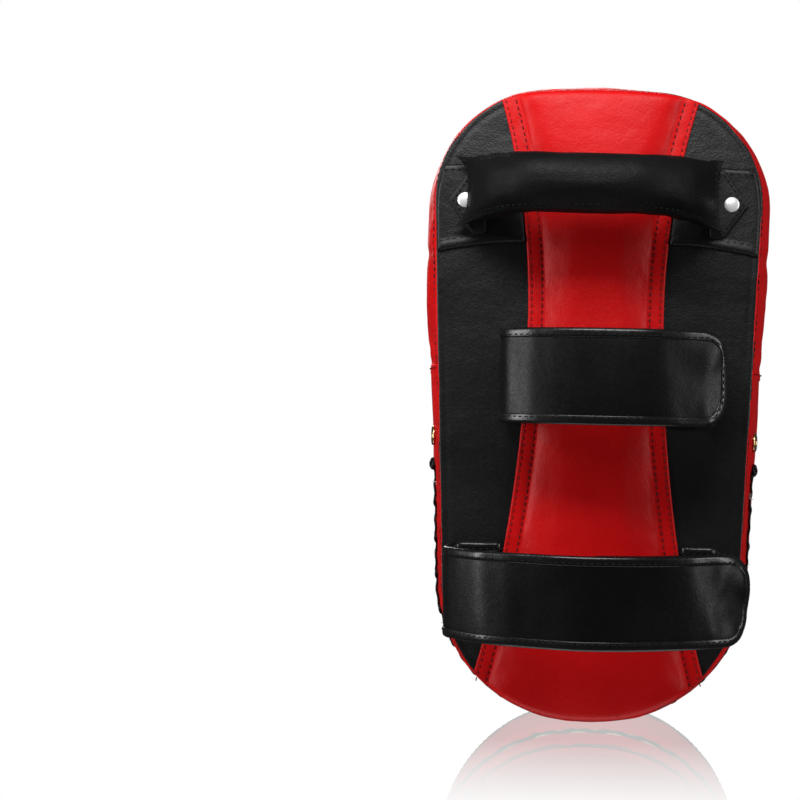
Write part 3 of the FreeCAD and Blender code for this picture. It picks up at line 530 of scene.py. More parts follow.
class Course:
    """A flat line of tangent straights and arcs, each with its outward direction."""

    def measure(self, parts):
        """Keeps the parts: (line, start, stop, outward) or (arc, centre, radius, first angle, last angle)."""
        lengths = [np.linalg.norm(p[2] - p[1]) if p[0] == "line" else p[2] * abs(p[4] - p[3]) for p in parts]
        self.parts = parts
        self.ends = np.concatenate([[0.0], np.cumsum(lengths)])
        self.length = self.ends[-1]

    def walk(self, distances):
        """Points and outward directions at distances along the line."""
        points, outward = [], []
        for distance in distances:
            index = int(np.searchsorted(self.ends, distance, "right")) - 1
            index = min(max(index, 0), len(self.parts) - 1)
            part = self.parts[index]
            share = (distance - self.ends[index]) / (self.ends[index + 1] - self.ends[index])
            if part[0] == "line":
                points.append(part[1] + (part[2] - part[1]) * share)
                outward.append(part[3])
            else:
                angle = part[3] + (part[4] - part[3]) * share
                away = np.array([math.cos(angle), math.sin(angle)])
                points.append(part[1] + away * part[2])
                outward.append(away)
        return np.array(points), np.array(outward)


class Outline(Course):
    """The pad seen from the back, measured anticlockwise from the right side's foot."""

    def __init__(self):
        along = np.array([math.sin(SIDE_TAPER), math.cos(SIDE_TAPER)])
        outward = np.array([math.cos(SIDE_TAPER), -math.sin(SIDE_TAPER)])
        side = np.array([HALF_WIDTH, 0.0])
        top = np.array([0.0, HALF_HEIGHT - TOP_RADIUS])
        bottom = np.array([0.0, BOTTOM_RADIUS - HALF_HEIGHT])

        def corner(centre, radius, corner_radius, towards):
            start = side - outward * corner_radius
            offset = start - centre
            middle = -offset @ along
            spread = math.sqrt(middle ** 2 - offset @ offset + (radius - corner_radius) ** 2)
            return start + along * (middle + towards * spread)

        high = corner(top, TOP_RADIUS, TOP_CORNER_RADIUS, 1)
        low = corner(bottom, BOTTOM_RADIUS, BOTTOM_CORNER_RADIUS, -1)
        flip = np.array([-1.0, 1.0])
        lean = -SIDE_TAPER
        joint_high = math.atan2(*(high - top)[::-1])
        joint_low = math.atan2(*(low - bottom)[::-1])
        low_point = low + outward * BOTTOM_CORNER_RADIUS
        high_point = high + outward * TOP_CORNER_RADIUS
        turn = math.pi
        self.measure([
            ("line", low_point, high_point, outward),
            ("arc", high, TOP_CORNER_RADIUS, lean, joint_high),
            ("arc", top, TOP_RADIUS, joint_high, turn - joint_high),
            ("arc", high * flip, TOP_CORNER_RADIUS, turn - joint_high, turn - lean),
            ("line", high_point * flip, low_point * flip, outward * flip),
            ("arc", low * flip, BOTTOM_CORNER_RADIUS, turn - lean, turn - joint_low),
            ("arc", bottom, BOTTOM_RADIUS, turn - joint_low, 2 * turn + joint_low),
            ("arc", low, BOTTOM_CORNER_RADIUS, 2 * turn + joint_low, 2 * turn + lean),
        ])
        self.top_middle = (self.ends[2] + self.ends[3]) / 2

    def at(self, distances):
        """Points (x, z) and outward directions at distances along the outline, which closes on itself."""
        return self.walk(np.atleast_1d(distances) % self.length)

    def side_distance(self, height, left=False):
        """How far along the outline a side reaches a height."""
        start, stop = self.parts[0][1][1], self.parts[0][2][1]
        share = (height - start) / (stop - start)
        if left:
            return self.ends[4] + (1 - share) * (self.ends[5] - self.ends[4])
        return self.ends[0] + share * (self.ends[1] - self.ends[0])


OUTLINE = Outline()


def level(outward):
    """Directions across and along the pad as directions in space."""
    return np.stack([outward[:, 0], np.zeros(len(outward)), outward[:, 1]], axis=1)


def out_of_back(count):
    """The direction out of the pad's back, for a number of points."""
    return np.tile((0, -1.0, 0), (count, 1))


def seam_depth(height):
    """Depth of the seam between side wall and striking face."""
    return SEAM_LOW_DEPTH + FACE_RADIUS - np.sqrt(FACE_RADIUS ** 2 - (height - FACE_LOW_HEIGHT) ** 2)


def fullness(points, outward):
    """How stuffed the side wall is: fullest below the handle, more on the left, flat at both ends."""
    rising = np.clip((points[:, 1] + 20 * MM) / (90 * MM), 0, 1)
    falling = np.clip((145 * MM - points[:, 1]) / (50 * MM), 0, 1)
    side = np.where(outward[:, 0] < 0, 0.9, 0.4)
    return np.abs(outward[:, 0]) ** 6 * side * (0.2 + 0.8 * rising ** 2 * (3 - 2 * rising)) * falling


def wall_at(distances, depths, lift=0.0):
    """Side wall at distances round the pad and depths from its back: points and outward directions."""
    points, outward = OUTLINE.at(distances)
    share = np.clip(depths / seam_depth(points[:, 1]), 0, 1)
    plain = WALL_FLARE * np.minimum(depths / FLARE_DEPTH, 1) - 0.5 * MM * np.clip((share - 0.85) / 0.15, 0, 1)
    stuffed = STUFFED_FLARE * (1 - np.exp(-depths / (9 * MM)))
    stuffed = stuffed + STUFFED_BULGE * np.sin(math.pi * share) ** 0.8
    full = fullness(points, outward)
    edge = points + outward * (plain + (stuffed - plain) * full + lift)[:, None]
    places = np.stack([edge[:, 0], depths + 0 * edge[:, 0], edge[:, 1]], axis=1)
    return places, level(outward)


def wall_points(distances, shares, lift=0.0):
    """A grid of points on the side wall: one row for each share of its depth."""
    points, outward = OUTLINE.at(distances)
    depth = seam_depth(points[:, 1] + outward[:, 1] * SEAM_OUTSET)
    rows = [wall_at(distances, depth * share, lift)[0] for share in shares]
    return np.array(rows), level(outward)


# ---------------------------------------------------------------- things that repeat

class Tree:
    """A geometry node tree under construction, with named inputs for its sizes."""

    def __init__(self, name, sizes):
        self.group = bpy.data.node_groups.new(name, "GeometryNodeTree")
        socket = self.group.interface.new_socket
        socket("Routes", in_out="INPUT", socket_type="NodeSocketGeometry")
        for size in sizes:
            socket(size, in_out="INPUT", socket_type="NodeSocketFloat")
        socket("Finish", in_out="INPUT", socket_type="NodeSocketMaterial")
        socket("Copies", in_out="OUTPUT", socket_type="NodeSocketGeometry")
        self.given = self.group.nodes.new("NodeGroupInput").outputs

    def node(self, kind, settings=(), **inputs):
        made = self.group.nodes.new(kind)
        for key, value in dict(settings).items():
            setattr(made, key, value)
        for key, value in inputs.items():
            self.put(value, made.inputs[key.replace("_", " ")])
        return made

    def put(self, value, socket):
        feed(self.group, value, socket)

    def scaled(self, value, factor):
        made = self.node("ShaderNodeMath", {"operation": "MULTIPLY"})
        self.put(value, made.inputs[0])
        self.put(factor, made.inputs[1])
        return made.outputs[0]

    def vector(self, x=0.0, y=0.0, z=0.0):
        made = self.node("ShaderNodeCombineXYZ")
        for socket, value in zip(made.inputs, (x, y, z)):
            self.put(value, socket)
        return made.outputs[0]

    def moved(self, geometry, **changes):
        return self.node("GeometryNodeTransform", Geometry=geometry, **changes).outputs[0]

    def joined(self, *parts):
        made = self.node("GeometryNodeJoinGeometry")
        for part in parts:
            self.group.links.new(part, made.inputs[0])
        return made.outputs[0]

    def tube(self, line, radius, sides=8):
        ring = self.node("GeometryNodeCurvePrimitiveCircle", Resolution=sides, Radius=radius)
        swept = self.node("GeometryNodeCurveToMesh", Curve=line, Profile_Curve=ring.outputs[0],
                          Fill_Caps=True)
        return swept.outputs[0]

    def finish(self, item, along=True):
        """Sets the item on the carrier's points, or at even steps along its edges, Z out of the surface."""
        out_of = self.node("GeometryNodeInputNamedAttribute", {"data_type": "FLOAT_VECTOR"}, Name="outward")
        if along:
            curve = self.node("GeometryNodeMeshToCurve", Mesh=self.given["Routes"])
            steps = self.node("GeometryNodeCurveToPoints", {"mode": "LENGTH"}, Curve=curve.outputs[0],
                              Length=self.given["Spacing"])
            places, way = steps.outputs["Points"], steps.outputs["Tangent"]
        else:
            places = self.given["Routes"]
            way = self.node("GeometryNodeInputNamedAttribute", {"data_type": "FLOAT_VECTOR"},
                            Name="way").outputs["Attribute"]
        axes = self.node("FunctionNodeAxesToRotation", {"primary_axis": "Z", "secondary_axis": "X"},
                         Primary_Axis=out_of.outputs["Attribute"], Secondary_Axis=way)
        copies = self.node("GeometryNodeInstanceOnPoints", Points=places, Instance=item,
                           Rotation=axes.outputs[0])
        real = self.node("GeometryNodeRealizeInstances", Geometry=copies.outputs[0])
        smooth = self.node("GeometryNodeSetShadeSmooth", Geometry=real.outputs[0])
        paint = self.node("GeometryNodeSetMaterial", Geometry=smooth.outputs[0],
                          Material=self.given["Finish"])
        result = self.node("NodeGroupOutput")
        self.group.links.new(paint.outputs[0], result.inputs[0])
        return self.group


def stitch_tree():
    """One stitch is a length of thread, fat in the middle, half sunk in the leather."""
    tree = Tree("stitches", ("Length", "Thickness", "Spacing", "Slant"))
    bead = tree.node("GeometryNodeMeshUVSphere", Segments=6, Rings=6, Radius=1.0)
    size = tree.vector(tree.scaled(tree.given["Length"], 0.5), tree.scaled(tree.given["Thickness"], 0.5),
                       tree.scaled(tree.given["Thickness"], 0.5))
    lying = tree.moved(bead.outputs["Mesh"], Scale=size)
    turned = tree.node("GeometryNodeTransform", Geometry=lying)
    tree.put(tree.vector(z=tree.given["Slant"]), turned.inputs["Rotation"])
    return tree.finish(turned.outputs[0])


def wrap_tree():
    """One turn of flat lace over the slit: an arched strip across the route."""
    tree = Tree("lace_wraps", ("Reach", "Rise", "Width", "Thickness", "Slant", "Spacing"))
    given = tree.given
    half = tree.scaled(given["Reach"], 0.5)
    low = tree.scaled(given["Thickness"], -1.2)
    start = tree.vector(y=tree.scaled(half, -1.0), z=low)
    middle = tree.vector(z=tree.scaled(given["Rise"], 2.0))
    end = tree.vector(y=half, z=low)
    arch = tree.node("GeometryNodeCurveQuadraticBezier", Resolution=10, Start=start, Middle=middle, End=end)
    upright = tree.node("GeometryNodeSetCurveNormal", {"mode": "Z_UP"}, Curve=arch.outputs[0])
    oval = tree.node("GeometryNodeCurvePrimitiveCircle", Resolution=10, Radius=1.0)
    flat = tree.moved(oval.outputs[0], Scale=tree.vector(tree.scaled(given["Width"], 0.5),
                                                         tree.scaled(given["Thickness"], 0.5), 1.0))
    strip = tree.node("GeometryNodeCurveToMesh", Curve=upright.outputs[0], Profile_Curve=flat, Fill_Caps=True)
    turned = tree.moved(strip.outputs[0], Rotation=tree.vector(z=given["Slant"]))
    return tree.finish(turned)


def rivet_tree():
    """A domed cap with a turned rim on its shank, and the washer-side tail."""
    tree = Tree("rivets", ("Cap radius", "Cap height", "Shank radius", "Shank length"))
    given = tree.given
    ball = tree.node("GeometryNodeMeshUVSphere", Segments=40, Rings=24, Radius=1.0)
    cap_size = tree.vector(given["Cap radius"], given["Cap radius"], given["Cap height"])
    dome = tree.moved(ball.outputs["Mesh"], Scale=cap_size)
    rim_line = tree.node("GeometryNodeCurvePrimitiveCircle", Resolution=40,
                         Radius=tree.scaled(given["Cap radius"], 0.93))
    rim = tree.tube(rim_line.outputs[0], tree.scaled(given["Cap height"], 0.34), 10)
    shank = tree.node("GeometryNodeMeshCylinder", Vertices=24, Radius=given["Shank radius"],
                      Depth=given["Shank length"])
    shank_place = tree.vector(z=tree.scaled(given["Shank length"], -0.5))
    low = tree.moved(shank.outputs["Mesh"], Translation=shank_place)
    tail_radius = tree.scaled(given["Shank radius"], 1.5)
    tail_size = tree.vector(tail_radius, tail_radius, 0.6 * MM)
    tail_place = tree.vector(z=tree.scaled(given["Shank length"], -1.0))
    tail = tree.moved(ball.outputs["Mesh"], Scale=tail_size, Translation=tail_place)
    return tree.finish(tree.joined(dome, rim, low, tail), along=False)


def eyelet_tree():
    """A rolled flange round a barrel that passes through the leather."""
    tree = Tree("eyelets", ("Hole radius", "Flange width", "Roll", "Barrel length"))
    given = tree.given
    middle = tree.node("ShaderNodeMath", {"operation": "ADD"})
    tree.put(given["Hole radius"], middle.inputs[0])
    tree.put(tree.scaled(given["Flange width"], 0.5), middle.inputs[1])
    line = tree.node("GeometryNodeCurvePrimitiveCircle", Resolution=48, Radius=middle.outputs[0])
    oval = tree.node("GeometryNodeCurvePrimitiveCircle", Resolution=14, Radius=1.0)
    section = tree.moved(oval.outputs[0], Scale=tree.vector(tree.scaled(given["Flange width"], 0.5),
                                                            given["Roll"], 1.0))
    flange = tree.node("GeometryNodeCurveToMesh", Curve=line.outputs[0], Profile_Curve=section)
    inner = tree.node("GeometryNodeCurvePrimitiveCircle", Resolution=48,
                      Radius=tree.scaled(given["Hole radius"], 1.08))
    thin = tree.node("GeometryNodeCurvePrimitiveCircle", Resolution=10, Radius=1.0)
    wall_size = tree.vector(0.3 * MM, tree.scaled(given["Barrel length"], 0.5), 1.0)
    wall = tree.moved(thin.outputs[0], Scale=wall_size)
    barrel = tree.node("GeometryNodeCurveToMesh", Curve=inner.outputs[0], Profile_Curve=wall)
    sunk = tree.moved(barrel.outputs[0],
                      Translation=tree.vector(z=tree.scaled(given["Barrel length"], -0.45)))
    return tree.finish(tree.joined(flange.outputs[0], sunk), along=False)


def mesh_tree():
    """A disc of woven wire behind an eyelet."""
    tree = Tree("vent_mesh", ("Radius", "Wire"))
    given = tree.given
    width = tree.scaled(given["Radius"], 2.0)
    web = tree.node("GeometryNodeMeshGrid", Size_X=width, Size_Y=width, Vertices_X=11, Vertices_Y=11)
    place = tree.node("GeometryNodeInputPosition")
    far = tree.node("ShaderNodeVectorMath", {"operation": "LENGTH"})
    tree.put(place.outputs[0], far.inputs[0])
    beyond = tree.node("FunctionNodeCompare", {"operation": "GREATER_THAN"})
    tree.put(far.outputs["Value"], beyond.inputs[0])
    tree.put(given["Radius"], beyond.inputs[1])
    trimmed = tree.node("GeometryNodeDeleteGeometry", Geometry=web.outputs["Mesh"],
                        Selection=beyond.outputs[0])
    lines = tree.node("GeometryNodeMeshToCurve", Mesh=trimmed.outputs[0])
    wires = tree.tube(lines.outputs[0], given["Wire"], 4)
    backing = tree.node("GeometryNodeMeshCircle", {"fill_type": "NGON"}, Vertices=32, Radius=given["Radius"])
    low = tree.moved(backing.outputs["Mesh"], Translation=tree.vector(z=tree.scaled(given["Wire"], -3.0)))
    return tree.finish(tree.joined(wires, low), along=False)


def carrier(name, routes, closed=False, ways=None):
    """Edges or points that a tree sets its copies on, with the surface's outward direction on each."""
    vertices = np.concatenate([np.atleast_2d(points) for points, _ in routes])
    outward = np.concatenate([np.atleast_2d(directions) for _, directions in routes])
    edges, first = [], 0
    if ways is None:
        for points, _ in routes:
            count = len(points)
            edges += [(first + i, first + (i + 1) % count) for i in range(count if closed else count - 1)]
            first += count
    mesh = bpy.data.meshes.new(name)
    mesh.from_pydata([tuple(v) for v in vertices], edges, [])
    for label, values in (("outward", outward), ("way", ways)):
        if values is not None:
            attribute = mesh.attributes.new(label, "FLOAT_VECTOR", "POINT")
            attribute.data.foreach_set("vector", np.asarray(values, np.float32).ravel())
    return linked(name, mesh)


def laid(piece, group, material, body="pad", **sizes):
    """Runs a tree on its carrier and keeps the result as a plain mesh."""
    modifier = piece.modifiers.new("copies", "NODES")
    modifier.node_group = group
    wanted = {key.replace("_", " "): value for key, value in sizes.items()}
    for item in group.interface.items_tree:
        if item.in_out == "INPUT" and item.name in wanted:
            modifier[item.identifier] = wanted[item.name]
        elif item.in_out == "INPUT" and item.name == "Finish":
            modifier[item.identifier] = MATERIALS[material]
    piece.update_tag()
    evaluated = piece.evaluated_get(bpy.context.evaluated_depsgraph_get())
    mesh = bpy.data.meshes.new_from_object(evaluated)
    if not mesh.vertices:
        raise RuntimeError(piece.name + " came out empty")
    piece.modifiers.clear()
    piece.data = mesh
    mesh.name = piece.name
    if body:
        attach(piece, body)
    return piece


STITCHES = stitch_tree()
WRAPS = wrap_tree()
RIVETS = rivet_tree()
EYELETS = eyelet_tree()
VENT_MESH = mesh_tree()
STITCH = dict(Length=2.9 * MM, Thickness=0.85 * MM, Spacing=3.9 * MM, Slant=math.radians(4))


# ---------------------------------------------------------------- stuffed shell

def pad_ring(columns):
    """Even points round the outline, so that each has its mirror image in the set."""
    steps = np.arange(columns) / columns
    return OUTLINE.at(OUTLINE.top_middle + steps * OUTLINE.length)


def dished_skin(name, profile, depth_of, material, fill_steps, doming):
    """A skin with the pad's outline: rings at (outset, rise) pairs from its edge, then a filled middle."""
    columns = RING_COLUMNS
    points, outward = pad_ring(columns)
    rings = [(points + outward * outset, np.full(columns, rise)) for outset, rise in profile]
    last = rings[-1][0]
    middle = np.stack([np.zeros(columns), last[:, 1] * 0.62], axis=1)
    for step in range(1, fill_steps + 1):
        share = step / fill_steps
        rise = profile[-1][1] + doming * math.sin(share * math.pi / 2)
        rings.append((last + (middle - last) * share, np.full(columns, rise)))
    vertices = np.concatenate([
        np.stack([flat[:, 0], depth_of(flat[:, 1]) + rise, flat[:, 1]], axis=1) for flat, rise in rings])
    skin = new_piece(name, vertices, grid_faces(len(rings), columns, around=True), material)
    merge_close(skin)
    return skin


def merge_close(piece):
    """Joins points that lie on each other."""
    work = bmesh.new()
    work.from_mesh(piece.data)
    bmesh.ops.remove_doubles(work, verts=work.verts, dist=SAME_PLACE)
    work.to_mesh(piece.data)
    work.free()


def turn_out(piece, way):
    """Flips an open skin's faces if they don't look the given way; None is away from the pad's axis."""
    mesh = piece.data
    total = 0.0
    for face in mesh.polygons:
        direction = Vector(way) if way else Vector((face.center.x, 0, face.center.z)).normalized()
        total += face.normal.dot(direction) * face.area
    if total < 0:
        mesh.flip_normals()
    return piece


def thicken(piece, thickness):
    """Gives an open skin its leather's thickness, inwards."""
    return modify(piece, "SOLIDIFY", thickness=thickness, offset=-1.0)


def outline_route(outset, depth_of):
    """A closed line parallel to the outline, at a depth; its surface looks away from the pad's axis."""
    count = int(OUTLINE.length / ROUTE_STEP)
    points, outward = OUTLINE.at(np.linspace(0.0, OUTLINE.length, count, endpoint=False))
    edge = points + outward * outset
    return np.stack([edge[:, 0], depth_of(edge[:, 1]), edge[:, 1]], axis=1), level(outward)


def make_face_cover():
    """The black striking face: a stuffed skin with a rounded edge that meets the walls at the seam."""
    radius = FACE_EDGE_RADIUS
    profile = [(SEAM_OUTSET - 0.8 * MM, -0.6 * MM), (SEAM_OUTSET, 0.3 * MM)]
    for step in range(9):
        angle = math.radians(90 * step / 8)
        outset = SEAM_OUTSET + 0.7 * MM - radius * (1 - math.cos(angle))
        profile.append((outset, FACE_EDGE_RISE + radius * math.sin(angle)))
    profile += [(-reach * MM, FACE_EDGE_RISE + radius) for reach in (9, 14, 20, 27, 35, 43, 51)]
    cover = dished_skin("striking_face_cover", profile, seam_depth, "face", fill_steps=12, doming=1.0 * MM)
    turn_out(cover, (0, 1, 0))
    places = coordinates(cover)
    rise = places[:, 1] - seam_depth(places[:, 2])
    settle(cover, rise < 1.0 * MM, 0.6, 0.0, cap=0.0010)
    places = coordinates(cover)
    near_seam = np.exp(-np.maximum(rise, 0) / (5 * MM)) * np.clip(rise / (2 * MM), 0, 1)
    puckers = np.maximum(ripple(places, 9 * MM, 1.0 * MM, 3), -0.2 * MM) * near_seam
    hollows = np.maximum(ripple(places, 45 * MM, 0.9 * MM, 4, (1, 0.3, 1)), -0.3 * MM)
    hollows *= np.clip(rise / (10 * MM), 0, 1)
    away = unit(places * np.array([1.0, 0.0, 1.0]))
    places += away * puckers[:, None]
    places[:, 1] += hollows
    set_coordinates(cover, places)
    thicken(cover, COVER_LEATHER)
    modify(cover, "SUBSURF", levels=1, render_levels=1)
    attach(cover, "pad")
    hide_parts("striking_face_cover")
    line = outline_route(SEAM_OUTSET + 0.3 * MM, lambda z: seam_depth(z) + 3.2 * MM)
    stitches = carrier("face_seam_stitches", [line], closed=True)
    laid(stitches, STITCHES, "black_thread", **STITCH)


def lace_sink(outward):
    """How much deeper the lace is drawn into the wall under the pad's foot than at its sides."""
    return 1.5 * MM * (1 - np.abs(outward[:, 0]) ** 3)


def wall_swell(places, outward, share, along, lap):
    """How far the wall's leather stands out: gathers at its seams, soft hollows, and the lace's pull."""
    flat = np.stack([along, places[:, 1], np.zeros(len(along))], axis=1)
    to_seam = np.minimum(share, 1 - share) * seam_depth(places[:, 2])
    gathers = np.exp(-to_seam / (7 * MM)) * np.clip(to_seam / (1.5 * MM), 0, 1)
    swell = ripple(flat, 10 * MM, 1.3 * MM, 11 + lap, (1, 0.35, 1)) * gathers
    swell += ripple(flat, 42 * MM, 1.2 * MM, 17 + lap, (1, 0.6, 1)) * np.clip(to_seam / (12 * MM), 0, 1)
    at_vent = np.exp(-((places[:, 1] - VENT_DEPTH) ** 2 + (places[:, 2] - VENT_HEIGHT) ** 2) / (10 * MM) ** 2)
    laced = np.clip((SLIT_TOP + 4 * MM - places[:, 2]) / (8 * MM), 0, 1)
    at_slit = np.exp(-((places[:, 1] - LACE_DEPTH) / (7 * MM)) ** 2) * laced
    swell *= 1 - np.maximum(at_vent, at_slit)
    if lap > 0:
        across_waist = np.exp(-((places[:, 2] - 89 * MM) / (4.5 * MM)) ** 2)
        swell -= 1.1 * MM * across_waist * np.sin(math.pi * share) ** 0.5
    else:
        slit = np.abs(places[:, 1] - LACE_DEPTH)
        swell -= (1.3 * MM + lace_sink(outward)) * np.exp(-(slit / (4.0 * MM)) ** 2) * laced
    return swell


def make_wall(name, start, stop, lap):
    """One red side wall between two places on the outline; lap is +1 where its ends lie over the other's."""
    columns = int((stop - start) / (2.6 * MM))
    distances = np.linspace(start, stop, columns)
    near_back, near_face = [0.0, 0.006, 0.02, 0.045, 0.08], [0.94, 0.97, 0.99, 1.0]
    shares = np.concatenate([near_back, np.linspace(0.12, 0.9, 20), near_face])
    from_end = np.minimum(distances - start, stop - distances)
    grid, outward = wall_points(distances, shares)
    if lap > 0:
        hem = 0.9 * MM * np.exp(-(from_end / (5 * MM)) ** 4)
        hem = hem - 0.5 * MM * np.exp(-((from_end - 8 * MM) / (2 * MM)) ** 2)
        off_seams = np.sin(math.pi * np.clip(shares, 0.02, 0.98))
        grid += outward[None] * hem[None, :, None] * off_seams[:, None, None] ** 0.3
    wall = new_piece(name, grid.reshape(-1, 3), grid_faces(len(shares), columns), "gusset")
    turn_out(wall, None)
    share = np.repeat(shares, columns)
    edge = np.tile(from_end, len(shares))
    beside_lace = np.abs(coordinates(wall)[:, 1] - LACE_DEPTH) < 9 * MM
    held = (share < 0.03) | (share > 0.985) | (edge < 6 * MM) | (beside_lace if lap < 0 else False)
    settle(wall, held, 1.0, 0.003, cap=0.0014)
    places = coordinates(wall)
    ways = np.tile(outward, (len(shares), 1))
    swell = wall_swell(places, ways, share, np.tile(distances, len(shares)), lap)
    set_coordinates(wall, places + ways * swell[:, None])
    thicken(wall, WALL_LEATHER)
    modify(wall, "SUBSURF", levels=1, render_levels=1)
    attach(wall, "pad")
    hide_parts(name)


def make_walls():
    """The lower and the upper red wall, joined on both sides, and the stitches along their edges."""
    low_right, low_left = (OUTLINE.side_distance(JOIN_HEIGHT + 4 * MM, left) for left in (False, True))
    make_wall("lower_gusset", low_left, low_right + OUTLINE.length, -1)
    right, left = (OUTLINE.side_distance(JOIN_HEIGHT - 2 * MM, left) for left in (False, True))
    make_wall("upper_gusset", right, left, 1)
    lines = []
    for side_left in (False, True):
        place = OUTLINE.side_distance(JOIN_HEIGHT + 1.5 * MM, side_left)
        shares = np.linspace(0.03, 0.97, 24)
        grid, outward = wall_points([place], shares, 0.7 * MM)
        lines.append((grid[:, 0], np.repeat(outward, len(shares), axis=0)))
    laid(carrier("gusset_join_stitches", lines), STITCHES, "red_thread", **STITCH)
    distances = np.linspace(0, OUTLINE.length, 330, endpoint=False)
    face_side, outward = wall_points(distances, [0.955], 0.2 * MM)
    face_row = carrier("gusset_face_stitches", [(face_side[0], outward)], closed=True)
    laid(face_row, STITCHES, "red_thread", **STITCH)
    back_side, outward = wall_at(distances, np.full(len(distances), 2.3 * MM), -0.25 * MM)
    slanted = unit(outward + np.array([0, -1.0, 0]))
    laid(carrier("gusset_back_stitches", [(back_side, slanted)], closed=True), STITCHES, "black_thread",
         Length=2.8 * MM, Thickness=0.85 * MM, Spacing=4.0 * MM, Slant=0.0)


def make_back_panel():
    """The black back panel, with a rolled edge."""
    profile = [(-1.4 * MM, 2.3 * MM), (-0.2 * MM, 1.9 * MM), (0.4 * MM, 1.1 * MM), (0.1 * MM, 0.3 * MM),
               (-0.9 * MM, -0.1 * MM), (-2.2 * MM, -0.2 * MM), (-3.4 * MM, 0.15 * MM), (-4.2 * MM, 0.2 * MM),
               (-5.4 * MM, -0.1 * MM), (-8 * MM, -0.15 * MM), (-14 * MM, 0.0)]
    profile += [(-reach * MM, 0.0) for reach in (22, 31, 41, 52)]
    panel = dished_skin("back_panel", profile, lambda z: 0.0 * z, "back", fill_steps=10, doming=0.0)
    turn_out(panel, (0, -1, 0))
    places = coordinates(panel)
    soft = ripple(places, 30 * MM, 0.5 * MM, 21) + ripple(places, 9 * MM, 0.14 * MM, 22)
    places[:, 1] += soft * np.clip(1 - np.abs(places[:, 1]) / (0.6 * MM), 0, 1)
    set_coordinates(panel, places)
    thicken(panel, WALL_LEATHER)
    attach(panel, "pad")
    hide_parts("back_panel")


# ---------------------------------------------------------------- forearm band

def band_edge(heights):
    """Half width of the hourglass band at a height."""
    radius = np.where(heights > BAND_WAIST, BAND_UPPER_RADIUS, BAND_LOWER_RADIUS)
    return BAND_HALF_WIDTH + radius - np.sqrt(radius ** 2 - (heights - BAND_WAIST) ** 2)


def end_line(top):
    """The band's upper or lower end as (across, height) pairs, a little inside the pad's outline."""
    start = OUTLINE.top_middle if top else OUTLINE.top_middle + OUTLINE.length / 2
    points, outward = OUTLINE.at(start + np.linspace(-0.13, 0.13, 261))
    edge = points - outward * 0.6 * MM
    return edge[np.argsort(edge[:, 0])].T


BAND_ENDS = {top: end_line(top) for top in (True, False)}


def end_height(across, top):
    """Height at which the band ends, at a place across the pad."""
    return np.interp(across, *BAND_ENDS[top])


def band_height(from_edge, from_end):
    """How far the band stands off the panel: a flat stitched border, then a stuffed dome."""
    border = BORDER_HEIGHT * np.clip(from_edge / (0.9 * MM), 0, 1) ** 0.5
    into = np.clip((from_edge - BORDER_WIDTH) / BAND_DOME_RAMP, 0, 1)
    dome = (BAND_HEIGHT - BORDER_HEIGHT) * (1 - (1 - into) ** 2) ** 0.75
    end = np.clip(from_end / BAND_END_RAMP, 0, 1)
    return border + dome * np.sqrt(1 - (1 - end) ** 2)


def band_point(from_edge, side, height, lift=0.0):
    """A point of the band at a distance in from its left or right edge."""
    across = side * (band_edge(height) - from_edge)
    from_end = np.minimum(end_height(across, True) - height, height - end_height(across, False))
    return np.stack([across, -band_height(from_edge, from_end) - lift, height], axis=-1)


def band_span(across):
    """Heights of the band's lower and upper end at a place across the pad."""
    return tuple(float(end_height(across, top)) for top in (False, True))


def border_place(side, inset, share):
    """Across, height, inset and distance from the nearer end, at a share of the band's length."""
    height = 0.0
    for _ in range(4):
        across = side * (band_edge(height) - inset)
        low, high = band_span(across)
        height = low + (high - low) * share
    return across, height, inset, min(high - height, height - low)


def middle_place(across, inset, share):
    """The same for a place between the borders."""
    low, high = band_span(across)
    from_end = 0.0 if share in (0, 1) else (high - low) * min(share, 1 - share)
    return across, low + (high - low) * share, inset, from_end


